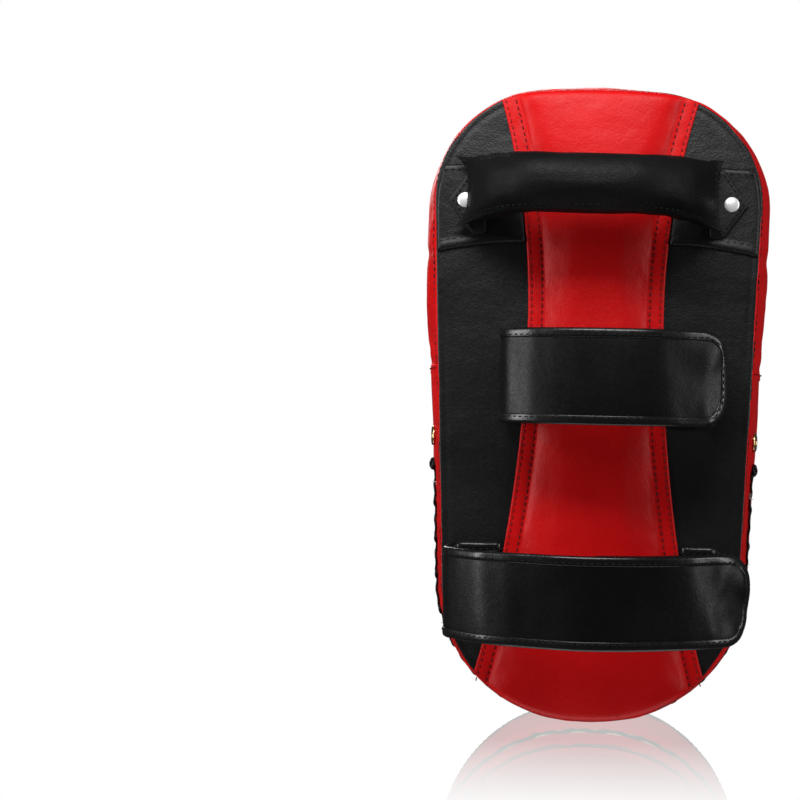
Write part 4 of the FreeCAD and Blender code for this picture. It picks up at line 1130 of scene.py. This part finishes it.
def make_band():
    """The red forearm band, stuffed between two stitched borders."""
    insets = np.array([0, 0.25, 0.7, 1.4, 2.2, 3.2, 4.6, 6.2, 7.4, 8.6, 9.6, 10.2, 10.6, 11.2, 12.2, 13.6,
                       15.4, 17.6, 20.4, 23.6]) * MM
    inner = np.linspace(0, 1, 14)[1:-1]
    ends = 1 - np.cos(np.linspace(0, math.pi / 2, 9))
    shares = np.concatenate([ends * 0.05, np.linspace(0.05, 0.95, 118)[1:-1], 1 - ends[::-1] * 0.05])
    rows = []
    for share in shares:
        left, right = ([border_place(side, inset, share) for inset in insets] for side in (-1, 1))
        first, last = left[-1][0], right[-1][0]
        fill = [middle_place(first + (last - first) * part, insets[-1] + 40 * MM, share) for part in inner]
        rows.append(left + fill + right[::-1])
    table = np.array(rows)
    across, height, from_edge, from_end = (table[..., i] for i in range(4))
    rise = band_height(from_edge, np.maximum(from_end, 0))
    front = np.stack([across, -rise, height], axis=-1)
    band = new_piece("forearm_band", front.reshape(-1, 3), grid_faces(*across.shape), "band")
    turn_out(band, (0, -1, 0))
    edge, end = from_edge.ravel(), from_end.ravel()
    settle(band, (edge < BORDER_WIDTH + 0.3 * MM) | (end < 3 * MM), 0.8, 0.001, cap=0.0012)
    places = coordinates(band)
    dome = np.clip((edge - BORDER_WIDTH) / (2 * MM), 0, 1) * np.clip(end / (4 * MM), 0, 1)
    gathers = np.exp(-np.maximum(edge - BORDER_WIDTH, 0) / (5 * MM)) * dome
    swell = ripple(places, 8 * MM, 1.0 * MM, 31, (0.4, 1, 1)) * gathers
    swell += ripple(places, 38 * MM, 1.3 * MM, 32) * dome + ripple(places, 13 * MM, 0.25 * MM, 33) * dome
    swell += ripple(places, 7 * MM, 0.25 * MM, 34) * (1 - dome) * np.clip(edge / (1 * MM), 0, 1)
    for line in BAND_SEAMS:
        swell -= 0.35 * MM * np.exp(-((edge - line) / (0.7 * MM)) ** 2)
    places[:, 1] -= np.maximum(swell, -0.3 * MM)
    set_coordinates(band, places)
    thicken(band, COVER_LEATHER)
    modify(band, "SUBSURF", levels=1, render_levels=1)
    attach(band, "pad")
    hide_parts("forearm_band")
    lines = []
    for side in (-1, 1):
        for inset in BAND_SEAMS:
            heights = np.linspace(*BAND_SEAM_HEIGHTS, 160)
            line = band_point(np.full(len(heights), inset), side, heights, -0.15 * MM)
            lines.append((line, out_of_back(len(line))))
    laid(carrier("band_outer_stitches", lines[::2]), STITCHES, "red_thread", **STITCH)
    laid(carrier("band_inner_stitches", lines[1::2]), STITCHES, "dark_thread", **STITCH)


def make_forearm_padding():
    """The foam under the middle of the band."""
    heights = np.linspace(-0.95, 0.95, 60)
    shares = np.linspace(0, 1, 24)
    low, high = float(end_height(0.0, False)), float(end_height(0.0, True))
    height = ((low + high) / 2 + heights * (high - low) / 2)[:, None] + 0 * shares[None]
    for _ in range(4):
        across = (band_edge(height) - BORDER_WIDTH - 2 * MM) * (2 * shares[None] - 1)
        low, high = end_height(across, False), end_height(across, True)
        height = (low + high) / 2 + heights[:, None] * (high - low) / 2
    from_edge = band_edge(height) - np.abs(across)
    from_end = np.minimum(end_height(across, True) - height, height - end_height(across, False))
    rise = np.maximum(band_height(from_edge, np.maximum(from_end, 0)) - 1.7 * MM, 0.3 * MM)
    front = np.stack([across, -rise, height], axis=-1).reshape(-1, 3)
    back = front * np.array([1.0, 0.0, 1.0]) + np.array([0, -0.1 * MM, 0])
    rows, columns = across.shape
    total = rows * columns
    faces = [tuple(f) for f in grid_faces(rows, columns)]
    faces += [tuple(i + total for i in f[::-1]) for f in faces]
    rim = list(range(columns)) + [r * columns + columns - 1 for r in range(1, rows)]
    rim += [total - 1 - c for c in range(1, columns)] + [r * columns for r in range(rows - 2, 0, -1)]
    faces += [(a, a + total, b + total, b) for a, b in zip(rim, rim[1:] + rim[:1])]
    padding = new_piece("forearm_padding", np.concatenate([front, back]), faces, "soft_foam")
    face_out(padding)
    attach(padding, "pad")
    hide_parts("forearm_padding")


# ---------------------------------------------------------------- handle

def slab(name, corners, base, height, material):
    """A thin rounded piece of leather on the back: a closed line of corners, its base and its height."""
    bevel = 0.6 * MM
    corners = np.array(corners)
    middle = corners.mean(axis=0)
    away = unit(corners - middle)
    rings = [(0.0, 0.0), (0.0, 0.55), (bevel * 0.3, 0.85), (bevel, 1.0), (bevel * 4, 1.02)]
    vertices = []
    for inset, share in rings:
        ring = corners - away * inset
        vertices += [(x, -base - height * share, z) for x, z in ring]
    flat_top = corners - away * bevel * 4
    for share in (0.6, 0.25):
        vertices += [(x, -base - height * 1.04, z) for x, z in middle + (flat_top - middle) * share]
    count = len(corners)
    faces = [tuple(f) for f in grid_faces(len(rings) + 2, count, around=True)]
    faces.append(tuple(range((len(rings) + 1) * count, (len(rings) + 2) * count)))
    faces.append(tuple(range(count))[::-1])
    piece = face_out(new_piece(name, vertices, faces, material))
    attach(piece, "pad")
    return piece


def rounded_corners(points, radius, steps=6):
    """A closed line with each corner replaced by a small curve."""
    points = [np.array(p, float) for p in points]
    line = []
    for before, corner, after in zip(points[-1:] + points[:-1], points, points[1:] + points[:1]):
        inwards, outwards = before - corner, after - corner
        start = corner + inwards * min(radius / np.linalg.norm(inwards), 0.45)
        stop = corner + outwards * min(radius / np.linalg.norm(outwards), 0.45)
        for step in range(steps + 1):
            share = step / steps
            line.append(start * (1 - share) ** 2 + corner * 2 * share * (1 - share) + stop * share ** 2)
    dense = []
    for first, second in zip(line, line[1:] + line[:1]):
        pieces = max(1, int(np.linalg.norm(second - first) / (2.5 * MM)))
        dense += [first + (second - first) * k / pieces for k in range(pieces)]
    return dense


def base_droop(across, height):
    """The base panels hang a little lower towards the pad's sides, most at their lower edge."""
    outer = np.clip((across - 50 * MM) / (44 * MM), 0, 1)
    low = np.clip((BASE_TOP - height) / (BASE_TOP - BASE_LOW), 0, 1)
    return outer ** 1.5 * (1.5 * MM + 4.5 * MM * low)


def make_handle_bases():
    """The black leather panels beside the band, hemmed along their lower edge."""
    for side, name in ((-1, "handle_base_left"), (1, "handle_base_right")):
        heights = np.concatenate([[BASE_LOW, BASE_LOW + 0.4 * MM, BASE_LOW + 1.2 * MM],
                                  np.linspace(BASE_LOW + 2.5 * MM, BASE_TOP - 2.5 * MM, 26),
                                  [BASE_TOP - 1.2 * MM, BASE_TOP - 0.4 * MM, BASE_TOP]])
        shares = np.concatenate([[0, 0.012, 0.04], np.linspace(0.09, 0.91, 16), [0.96, 0.988, 1.0]])
        places, outward = OUTLINE.at(OUTLINE.top_middle - side * np.linspace(0.03, 0.26, 240))
        rim = places - outward * 0.9 * MM
        order = np.argsort(rim[:, 1])
        outer = np.interp(heights, rim[order, 1], np.abs(rim[order, 0]))
        inner = band_edge(heights) + 0.25 * MM
        across = inner[:, None] + (outer - inner)[:, None] * shares[None]
        from_low = (heights - BASE_LOW)[:, None] + 0 * across
        from_top = (BASE_TOP - heights)[:, None] + 0 * across
        from_side = np.minimum(across - inner[:, None], outer[:, None] - across)
        nearest = np.minimum(np.minimum(from_low, from_top), from_side)
        rise = BASE_THICKNESS * np.sqrt(1 - (1 - np.clip(nearest / (2.4 * MM), 0, 1)) ** 2)
        hem = np.exp(-((from_low - 2.6 * MM) / (2.2 * MM)) ** 4)
        rise += 1.1 * MM * hem * np.clip(nearest / (0.8 * MM), 0, 1)
        heights_grid = heights[:, None] + 0 * across
        flat = np.stack([across, 0 * across, heights_grid], axis=-1).reshape(-1, 3)
        soft = ripple(flat, 16 * MM, 0.35 * MM, 41 + side).reshape(rise.shape)
        rise += soft * np.clip(nearest / (3 * MM), 0, 1)
        drooped = heights_grid - base_droop(across, heights_grid)
        front = np.stack([side * across, -rise - 0.1 * MM, drooped], axis=-1)
        base = new_piece(name, front.reshape(-1, 3), grid_faces(*across.shape), "back")
        turn_out(base, (0, -1, 0))
        thicken(base, 0.8 * MM)
        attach(base, "pad")
        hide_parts(name)
        lines = []
        for height, lift in ((BASE_LOW + 5.6 * MM, 1.6 * MM), (BASE_LOW + 1.6 * MM, 2.6 * MM),
                             (BASE_TOP - 3.2 * MM, 1.7 * MM)):
            line = np.linspace(float(np.interp(height, heights, inner)) + 2 * MM,
                               float(np.interp(height, heights, outer)) - 2.5 * MM, 20)
            points = np.stack([side * line, np.full(20, -lift - 0.1 * MM), height - base_droop(line, height)],
                              axis=1)
            lines.append((points, out_of_back(len(points))))
        laid(carrier(name + "_stitches", lines), STITCHES, "black_thread", **STITCH)


def make_handle_tabs():
    """The handle's pointed ends, flat on the bases, with a row of stitches along their points."""
    for side, name in ((-1, "handle_tab_left"), (1, "handle_tab_right")):
        shape = ((66, -20), (74, -20), (88.5, 0), (74, 20), (66, 20))
        corners = [(side * (x * MM), TAB_HEIGHT + z * MM) for x, z in shape]
        tab = slab(name, rounded_corners(corners, 2.5 * MM), BASE_THICKNESS, TAB_THICKNESS, "tab")
        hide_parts(name)
        row = np.array([(74.2, -16.5), (85.2, -0.4), (85.2, 0.4), (74.2, 16.5)]) * MM
        points = []
        for first, second in zip(row[:-1], row[1:]):
            points += [first + (second - first) * k / 8 for k in range(8)]
        points = np.array(points + [row[-1]])
        line = np.stack([side * points[:, 0], np.full(len(points), -BASE_THICKNESS - TAB_THICKNESS * 1.12),
                         TAB_HEIGHT + points[:, 1]], axis=1)
        laid(carrier(name + "_stitches", [(line, out_of_back(len(line)))]), STITCHES, "black_thread",
             Length=2.3 * MM, Thickness=0.9 * MM, Spacing=3.2 * MM)


def make_rivets():
    """One bright rivet through each of the handle's tabs."""
    top = BASE_THICKNESS + TAB_THICKNESS
    places = [(side * RIVET_PLACE, -top - 0.1 * MM, TAB_HEIGHT) for side in (-1, 1)]
    piece = carrier("handle_rivets", [(np.array(places), out_of_back(2))], ways=[(1.0, 0, 0)] * 2)
    laid(piece, RIVETS, "nickel", Cap_radius=4.3 * MM, Cap_height=1.2 * MM, Shank_radius=2 * MM,
         Shank_length=top + 3.2 * MM)
    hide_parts("handle_rivets")


def grip_frame(part):
    """Centre, half sizes and lean of the grip's section at a share of its half length, -1 to 1."""
    lift = (1 - part ** 4) ** 2
    full = lift ** 0.8
    rise = GRIP_END_RISE + (GRIP_RISE - GRIP_END_RISE) * lift
    slope = 8 * part ** 3 * (1 - part ** 4) * (GRIP_RISE - GRIP_END_RISE) / GRIP_HALF_SPAN
    end = np.clip((np.abs(part) - 0.72) / 0.28, 0, 1)
    half_wide = GRIP_END_HALF_WIDTH + (GRIP_RADIUS - GRIP_END_HALF_WIDTH) * full + 0.9 * MM * end ** 2
    half_thick = GRIP_END_THICKNESS / 2 + (GRIP_RADIUS - GRIP_END_THICKNESS / 2) * full
    half_thick = half_thick - 0.9 * MM * end ** 3
    rise = rise + 0.6 * MM * end
    centre = np.stack([GRIP_SHIFT + part * GRIP_HALF_SPAN, -rise, np.full_like(part, HANDLE_HEIGHT)], axis=-1)
    return centre, half_wide, half_thick, np.arctan(0.5 * slope)


def grip_surface(part, angle, lift=0.0):
    """A point on the grip: angle runs from straight out (0) through up (90) and the underside (180)."""
    centre, half_wide, half_thick, lean = grip_frame(part)
    squareness = 1 - 0.42 * np.clip((np.abs(part) - 0.6) / 0.4, 0, 1)
    cosine, sine = np.cos(angle), np.sin(angle)
    out = np.sign(cosine) * np.abs(cosine) ** squareness * half_thick + lift * cosine
    up = np.sign(sine) * np.abs(sine) ** squareness * half_wide + lift * sine
    away = np.stack([np.sin(lean), -np.cos(lean), 0 * lean], axis=-1)
    places = centre + away * out[..., None] + np.array([0, 0, 1.0]) * up[..., None]
    end = np.clip((np.abs(part) - 0.7) / 0.3, 0, 1)
    drawn_in = np.where(part < 0, 6.0, 2.5) * MM * (1 - np.abs(sine) ** 1.5)
    tips = np.where(part < 0, 2.5, 1.2) * MM * np.abs(sine) ** 6
    places[..., 0] -= np.sign(part) * end ** 2 * (drawn_in - tips)
    return places, away


def end_strips(rings, around):
    """Faces that close both ends of a flattened tube: strips from its outer to its inner side."""
    faces = []
    for first in (0, (rings - 1) * around):
        for step in range(-around // 4 + 1, around // 4 - 1):
            across = around // 2 - step
            faces.append((first + step % around, first + (step + 1) % around,
                          first + (across - 1) % around, first + across % around))
        for tip in (around // 4, 3 * around // 4):
            faces.append((first + tip - 1, first + tip, first + tip + 1))
    return faces


def make_grip_core():
    """The foam roll inside the grip's leather."""
    parts = np.linspace(-0.8, 0.8, 30)
    around = 28
    angles = np.arange(around) / around * 2 * math.pi
    grid_part, grid_angle = np.meshgrid(parts, angles, indexing="ij")
    points, _ = grip_surface(grid_part, grid_angle, np.full(grid_part.shape, -2.4 * MM))
    faces = [tuple(f) for f in grid_faces(len(parts), around, around=True)] + end_strips(len(parts), around)
    core = new_piece("handle_grip_core", points.reshape(-1, 3), faces, "dense_foam")
    face_out(core)
    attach(core, "pad")
    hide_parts("handle_grip_core")


def make_grip():
    """The stuffed leather roll of the handle, with its sewn ridge along the lower edge."""
    parts = np.sin(np.linspace(-math.pi / 2, math.pi / 2, 66)) * 0.35 + np.linspace(-1, 1, 66) * 0.65
    around = 56
    angles = np.arange(around) / around * 2 * math.pi
    grid_part, grid_angle = np.meshgrid(parts, angles, indexing="ij")
    turn = (grid_angle - RIDGE_ANGLE + math.pi) % (2 * math.pi) - math.pi
    ridge = 1.1 * MM * np.exp(-(turn / 0.10) ** 2) - 0.5 * MM * np.exp(-((turn - 0.22) / 0.08) ** 2)
    fold = np.clip((np.abs(grid_part) - 0.35) / 0.3, 0, 1) * np.clip((1 - np.abs(grid_part)) / 0.08, 0, 1)
    flat = np.stack([grid_part * GRIP_HALF_SPAN, grid_angle * 12 * MM, 0 * grid_part], axis=-1).reshape(-1, 3)
    creases = ripple(flat, 7 * MM, 1.1 * MM, 51, (1, 0.22, 1)).reshape(grid_part.shape) * fold
    lumps = ripple(flat, 26 * MM, 0.9 * MM, 52).reshape(grid_part.shape)
    lumps *= np.clip((1 - np.abs(grid_part)) / 0.1, 0, 1)
    points, _ = grip_surface(grid_part, grid_angle, ridge + creases + lumps)
    faces = [tuple(f) for f in grid_faces(len(parts), around, around=True)] + end_strips(len(parts), around)
    grip = new_piece("handle_grip_cover", points.reshape(-1, 3), faces, "handle")
    face_out(grip)
    held = (np.abs(grid_part) > 0.93) | (np.abs(turn) < 0.12)
    settle(grip, held.ravel(), 1.0, 0.003, cap=0.0010)
    modify(grip, "SUBSURF", levels=1, render_levels=1)
    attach(grip, "pad")
    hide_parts("handle_grip_cover")
    angle = RIDGE_ANGLE + RIDGE_STITCHES
    line, away = grip_surface(np.linspace(-0.96, 0.96, 70), np.full(70, angle), 0.15 * MM)
    outward = unit(away * math.cos(angle) + np.array([0, 0, 1.0]) * math.sin(angle))
    laid(carrier("grip_stitches", [(line, outward)]), STITCHES, "black_thread", **STITCH)
    ends = []
    for part in (-0.955, 0.955):
        angles = np.linspace(-1.35, 1.35, 22)
        line, away = grip_surface(np.full(22, part), angles, 0.1 * MM)
        ends.append((line, away * np.ones((22, 1))))
    laid(carrier("grip_end_stitches", ends), STITCHES, "black_thread", **STITCH)


# ---------------------------------------------------------------- straps

class StrapLine(Course):
    """One strap seen from above: sewn flat, bent up through its hinge, round the fold and along the front."""

    def __init__(self, name, side, nested, end):
        sizes = STRAPS[name]
        self.side, self.height, self.half_width = side, sizes["height"], sizes["width"] / 2
        fold = sizes["fold_left"] if side < 0 else sizes["fold_right"]
        self.fold = fold
        radius = sizes["front_radius"] - nested
        centre = np.array([(sizes["fold_left"] + sizes["free_end"]) / 2,
                           sizes["front_radius"] - sizes["front"]])
        bend = STRAP_BEND
        half = STRAP_THICKNESS / 2
        root = np.array([side * (sizes["root"] - ROOT_UNDER_BAND), -half])
        low_centre = np.array([fold - side * STRAP_ROOT_BEND, -half - STRAP_ROOT_BEND])
        high_x = fold - side * bend
        high_y = centre[1] - math.sqrt((radius - bend) ** 2 - (high_x - centre[0]) ** 2)
        high_centre = np.array([high_x, high_y])
        joint = math.atan2(*(high_centre - centre)[::-1])
        stop = -math.acos((end - centre[0]) / radius)
        outward = math.pi if side < 0 else 0.0
        turned = joint + 2 * math.pi if side < 0 else joint
        self.measure([
            ("line", root, np.array([low_centre[0], -half]), np.array([0, 1.0])),
            ("arc", low_centre, STRAP_ROOT_BEND, math.pi / 2, outward),
            ("line", np.array([fold, low_centre[1]]), np.array([fold, high_y]), np.array([side, 0.0])),
            ("arc", high_centre, bend, outward, turned),
            ("arc", centre, radius, joint, stop),
        ])
        self.seed = 61 + 7 * list(STRAPS).index(name) + side

    def at(self, distances):
        """Points (x, y) and outward directions at distances along the strap."""
        return self.walk(np.clip(distances, 0, self.length))

    def surface(self, distances, across, lift):
        """Points at distances along and across the strap, lifted outwards, and their outward directions."""
        shape = np.shape(distances)
        flat = np.ravel(distances)
        points, outward = self.at(flat)
        sideways = np.ravel(across)
        raised = np.ravel(lift)
        waves = np.stack([flat, sideways, np.zeros(len(flat))], axis=1)
        free = np.clip((flat - self.ends[2]) / (25 * MM), 0, 1)
        near_end = np.clip((flat - self.length + 48 * MM) / (40 * MM), 0, 1) ** 1.5
        middle = np.clip(1 - (np.abs(sideways) / self.half_width) ** 4, 0, 1)
        raised = raised + ripple(waves, 34 * MM, 1.5 * MM, self.seed, (1, 0.45, 1)) * free
        small = ripple(waves, 11 * MM, 0.4 * MM, self.seed + 1, (1, 0.3, 1))
        raised = raised + small * np.clip(free + 0.3, 0, 1)
        folds = ripple(waves, 13 * MM, 4.5 * MM, self.seed + 2, (1, 0.5, 1)) * near_end * middle
        raised = raised + np.maximum(folds, -0.5 * MM)
        sunk = np.clip(1 - flat / (ROOT_UNDER_BAND + 4 * MM), 0, 1)
        raised = raised + 2.2 * MM * sunk ** 2 * (3 - 2 * sunk)
        lifted = points + outward * raised[:, None]
        places = np.stack([lifted[:, 0], lifted[:, 1], self.height + sideways], axis=1)
        ways = np.stack([outward[:, 0], outward[:, 1], np.zeros(len(flat))], axis=1)
        return places.reshape(*shape, 3), ways.reshape(*shape, 3)

    def border(self, inset, radius, step=2.6 * MM):
        """The free border, from the root round the end: (along, across) pairs and inward directions."""
        reach, wide = self.length - radius, self.half_width - radius
        line, inward = [], []
        straight = np.linspace(0, reach, int(reach / step))
        line += [(s, self.half_width) for s in straight]
        inward += [(0, -1)] * len(straight)
        for turn in np.linspace(math.pi / 2, 0, 14)[1:]:
            line.append((reach + radius * math.cos(turn), wide + radius * math.sin(turn)))
            inward.append((-math.cos(turn), -math.sin(turn)))
        for share in np.linspace(wide, -wide, max(2, int(2 * wide / step)))[1:]:
            line.append((self.length, share))
            inward.append((-1, 0))
        for turn in np.linspace(0, -math.pi / 2, 14)[1:]:
            line.append((reach + radius * math.cos(turn), -wide + radius * math.sin(turn)))
            inward.append((-math.cos(turn), -math.sin(turn)))
        line += [(s, -self.half_width) for s in straight[::-1][1:]]
        inward += [(0, 1)] * (len(straight) - 1)
        line, inward = np.array(line, float), np.array(inward, float)
        return line + inward * inset, inward


def strap_ribbon(name, strap):
    """The strap's leather: two faces joined round its edges, from its sewn root to its rounded end."""
    radius = STRAP_END_RADIUS
    straight = strap.length - radius
    rounded = straight + radius * np.sin(np.linspace(0, math.pi / 2, 12))[1:]
    stations = np.concatenate([np.linspace(0, straight, int(straight / (2.4 * MM))), rounded])
    beyond = np.clip(stations - straight, 0, radius)
    half = strap.half_width - 0.5 * MM - radius + np.sqrt(np.maximum(radius ** 2 - beyond ** 2, 0))
    columns = np.sin(np.linspace(-math.pi / 2, math.pi / 2, 19))
    thick = STRAP_THICKNESS / 2 * np.sqrt(np.clip(1 - np.abs(columns) ** 14, 0, 1))
    thick = thick + 0.3 * MM * (1 - columns ** 2)
    ring_columns = np.concatenate([columns, columns[-2:0:-1]])
    ring_lift = np.concatenate([thick, -thick[-2:0:-1]])
    along = stations[:, None] + 0 * ring_columns[None]
    across = half[:, None] * ring_columns[None]
    lift = ring_lift[None] + 0 * along
    points, _ = strap.surface(along, across, lift)
    faces = tube_faces(len(stations), len(ring_columns))
    return face_out(new_piece(name, points.reshape(-1, 3), faces, "strap"))


def strap_binding(name, strap):
    """The glossy binding folded over the strap's edges and free end."""
    wide = BINDING_WIDTH / MM
    half = STRAP_THICKNESS / 2 / MM
    section = [(wide, half - 0.2), (wide, half + 0.35), (wide - 0.5, half + 0.62), (wide * 0.6, half + 0.74),
               (1.3, half + 0.66), (0.3, half + 0.3), (-0.3, half * 0.6), (-0.42, 0.0)]
    section += [(inset, -lift) for inset, lift in section[-2::-1]]
    section += [(wide - 0.8, -half + 0.3), (1.5, -half + 0.5), (1.5, half - 0.5), (wide - 0.8, half - 0.3)]
    line, inward = strap.border(0.0, STRAP_END_RADIUS)
    grid = np.array([[(s + i * inset * MM, q + j * inset * MM) for inset, _ in section]
                     for (s, q), (i, j) in zip(line, inward)])
    lift = np.array([[raised * MM for _, raised in section]] * len(line))
    along = np.clip(grid[..., 0], 0, None)
    beyond = np.clip(along - strap.length, 0, None)
    points, _ = strap.surface(along, grid[..., 1], lift)
    _, way = strap.at([strap.length])
    forward = np.array([-way[0][1], way[0][0], 0.0]) * (1 if strap.side < 0 else -1)
    points = points + beyond[..., None] * forward
    faces = tube_faces(len(line), len(section))
    return face_out(new_piece(name, points.reshape(-1, 3), faces, "binding"))


def strap_stitches(name, strap):
    """Stitches through the binding, on both faces, and two rows across the strap's root."""
    line, _ = strap.border(BINDING_WIDTH - 1.5 * MM, STRAP_END_RADIUS)
    routes = []
    for face in (1, -1):
        lift = np.full(len(line), face * (STRAP_THICKNESS / 2 + 0.72 * MM))
        points, ways = strap.surface(line[:, 0], line[:, 1], lift)
        routes.append((points, ways * face))
    across = np.linspace(-strap.half_width + 7 * MM, strap.half_width - 7 * MM, 16)
    for along in (3 * MM, 9 * MM):
        points, ways = strap.surface(np.full(16, along), across, np.full(16, -STRAP_THICKNESS / 2 - 0.3 * MM))
        routes.append((points, -ways))
    return laid(carrier(name, routes), STITCHES, "black_thread", body=None, **STITCH)


def make_strap(name, layer, side, nested, end):
    """One strap with its binding and stitches, all laid along the same bent line."""
    strap = StrapLine(name, side, nested, end)
    side_word = "left" if side < 0 else "right"
    ribbon = strap_ribbon(f"{name}_{layer}_strap", strap)
    binding = strap_binding(f"{name}_{layer}_strap_binding", strap)
    stitches = strap_stitches(f"{name}_{layer}_strap_stitches", strap)
    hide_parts(f"{name}_{side_word}_strap_root", f"{name}_{layer}_strap")
    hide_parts(f"{name}_{layer}_strap_binding")
    for piece in (ribbon, binding, stitches):
        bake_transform(piece)


def make_straps():
    """Two straps, each an outer part over an inner one."""
    for name, sizes in STRAPS.items():
        make_strap(name, "outer", -1, 0.0, sizes["free_end"])
        make_strap(name, "inner", 1, STRAP_NESTED, sizes["inner_end"])


# ---------------------------------------------------------------- lace and vents

def make_lace():
    """The flat lace along the slit in the lower wall, with its wraps, end knots and tufts of raw lining."""
    start = OUTLINE.side_distance(SLIT_TOP, True)
    stop = OUTLINE.side_distance(SLIT_TOP) + OUTLINE.length
    count = int((stop - start) / (1.8 * MM))
    distances = np.linspace(start, stop, count)
    wander = 1.5 * MM * np.sin((distances - start) * 2 * math.pi / LACE_WRAP_SPACING)
    bob = 0.35 * MM * np.cos((distances - start) * 4 * math.pi / LACE_WRAP_SPACING) + 0.1 * MM
    middle, ways = wall_at(distances, np.full(count, LACE_DEPTH), bob)
    middle -= ways * lace_sink(ways)[:, None]
    turns = np.linspace(0, 2 * math.pi, 13)[:-1]
    ring = [(math.cos(a) * LACE_HALF_WIDTH, math.sin(a) * LACE_HALF_THICKNESS) for a in turns]
    vertices = []
    for place, way, shift in zip(middle, ways, wander):
        for wide, thick in ring:
            vertices.append(place + way * thick + np.array([0, shift + wide, 0]))
    lace = face_out(new_piece("gusset_lace", vertices, tube_faces(count, len(ring)), "lace"))
    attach(lace, "pad")
    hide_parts("gusset_lace")

    route = middle + ways * (0.5 * MM - bob[:, None] * 0.5)
    laid(carrier("lace_wraps", [(route, ways)]), WRAPS, "lace", Reach=11.5 * MM, Rise=0.8 * MM,
         Width=3.2 * MM, Thickness=1.1 * MM, Slant=math.radians(28), Spacing=LACE_WRAP_SPACING)

    knots, _ = wall_at([start - 2 * MM, stop + 2 * MM], np.full(2, LACE_DEPTH), 1.0 * MM)
    make_knots(knots)
    beside = np.arange(start + 9 * MM, stop, 42 * MM)
    beside = beside[np.abs(OUTLINE.at(beside)[1][:, 0]) > 0.93]
    sides = np.where(np.arange(len(beside)) % 2, 4.0 * MM, -4.0 * MM)
    tufts, out_of = wall_at(beside, LACE_DEPTH + sides, -0.4 * MM)
    make_tufts(tufts - out_of * lace_sink(out_of)[:, None])


def make_knots(places):
    """The lace's end knots: a small turn of lace over itself."""
    steps, sides = 26, 8
    vertices, faces = [], []
    for centre in np.array(places):
        side = 1 if centre[0] > 0 else -1
        for ring_radius, lift, tilt in ((2.6 * MM, 0.0, 0.5), (2.2 * MM, 1.0 * MM, -0.6)):
            first = len(vertices)
            size = np.array([1 * MM, ring_radius, ring_radius])
            for step in range(steps):
                angle = 2 * math.pi * step / steps
                across, along = math.cos(angle), math.sin(angle)
                radial = np.array([side * 0.35 * math.sin(angle * 2), across, math.sin(angle + tilt)])
                base = centre + np.array([side * lift, 0, 0]) + radial * size
                for turn in range(sides):
                    around = 2 * math.pi * turn / sides
                    out = side * math.sin(around) * 0.9 * MM
                    wide = math.cos(around) * 1.5 * MM
                    vertices.append(base + np.array([out, across * wide, along * wide]))
            faces += [tuple(first + i for i in f) for f in grid_faces(steps, sides, around=True, along=True)]
    knots = face_out(new_piece("lace_knots", vertices, faces, "lace"))
    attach(knots, "pad")


def make_tufts(places):
    """Raw lining that shows where the lace pulls its holes open."""
    random = np.random.default_rng(5)
    vertices, faces = [], []
    for centre in places:
        for _ in range(9):
            start = np.array(centre) + random.normal(0, 0.9 * MM, 3)
            way = unit(random.normal(0, 1, 3) + np.array([np.sign(centre[0]) * 1.2, 0, -0.4]))
            side = unit(np.cross(way, random.normal(0, 1, 3)))
            length, half = random.uniform(0.9, 1.9) * MM, 0.28 * MM
            first = len(vertices)
            for step in range(4):
                share = step / 3
                middle = start + way * length * share + side * 0.6 * MM * share ** 2
                thin = half * (1 - 0.8 * share)
                for turn in range(3):
                    angle = 2 * math.pi * turn / 3
                    away = side * math.cos(angle) + np.cross(way, side) * math.sin(angle)
                    vertices.append(middle + away * thin)
            faces += [tuple(first + i for i in f) for f in grid_faces(4, 3, around=True)]
            faces += [(first, first + 1, first + 2), (first + 11, first + 10, first + 9)]
    tufts = new_piece("lining_tufts", vertices, faces, "fluff")
    face_out(tufts)
    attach(tufts, "pad")


def make_vents():
    """A brass eyelet with wire mesh behind it on each side of the pad."""
    places, ways, lines = [], [], []
    for left in (False, True):
        distance = OUTLINE.side_distance(VENT_HEIGHT, left)
        share = VENT_DEPTH / float(seam_depth(VENT_HEIGHT))
        grid, outward = wall_points([distance], [share - 0.03, share, share + 0.03], 0.9 * MM)
        slope = unit(grid[2, 0] - grid[0, 0])
        along = np.array([0, 0, 1.0])
        normal = unit(np.cross(slope, along))
        normal *= np.sign(normal @ outward[0])
        places.append(grid[1, 0])
        ways.append(normal)
        lines.append(along)
    rings = carrier("vent_eyelets", [(np.array(places), np.array(ways))], ways=lines)
    laid(rings, EYELETS, "brass", Hole_radius=3 * MM, Flange_width=3.0 * MM, Roll=0.9 * MM,
         Barrel_length=5 * MM)
    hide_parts("vent_eyelets")
    sunk = np.array(places) - np.array(ways) * 0.4 * MM
    web = carrier("vent_mesh", [(sunk, np.array(ways))], ways=lines)
    laid(web, VENT_MESH, "black_thread", Radius=3.2 * MM, Wire=0.13 * MM)


# ---------------------------------------------------------------- the design's own solids, and the whole

KEPT = {
    "back_foam": "soft_foam", "core_foam": "soft_foam", "face_foam": "dense_foam",
    "vent_eyelet_washers": "brass", "handle_rivet_washers": "nickel",
    "upper_hook_patch": "hook", "lower_hook_patch": "hook",
    "upper_loop_patch": "loop", "lower_loop_patch": "loop",
}


def finish_kept_nodes():
    """Gives the design's own solids their finish."""
    for node, material in KEPT.items():
        mesh = bpy.data.objects[node].data
        mesh.materials.clear()
        mesh.materials.append(MATERIALS[material])


make_camera()
make_lights()
make_world()
make_floor()
make_face_cover()
make_walls()
make_back_panel()
make_band()
make_forearm_padding()
make_handle_bases()
make_handle_tabs()
make_rivets()
make_grip_core()
make_grip()
make_straps()
make_lace()
make_vents()
finish_kept_nodes()
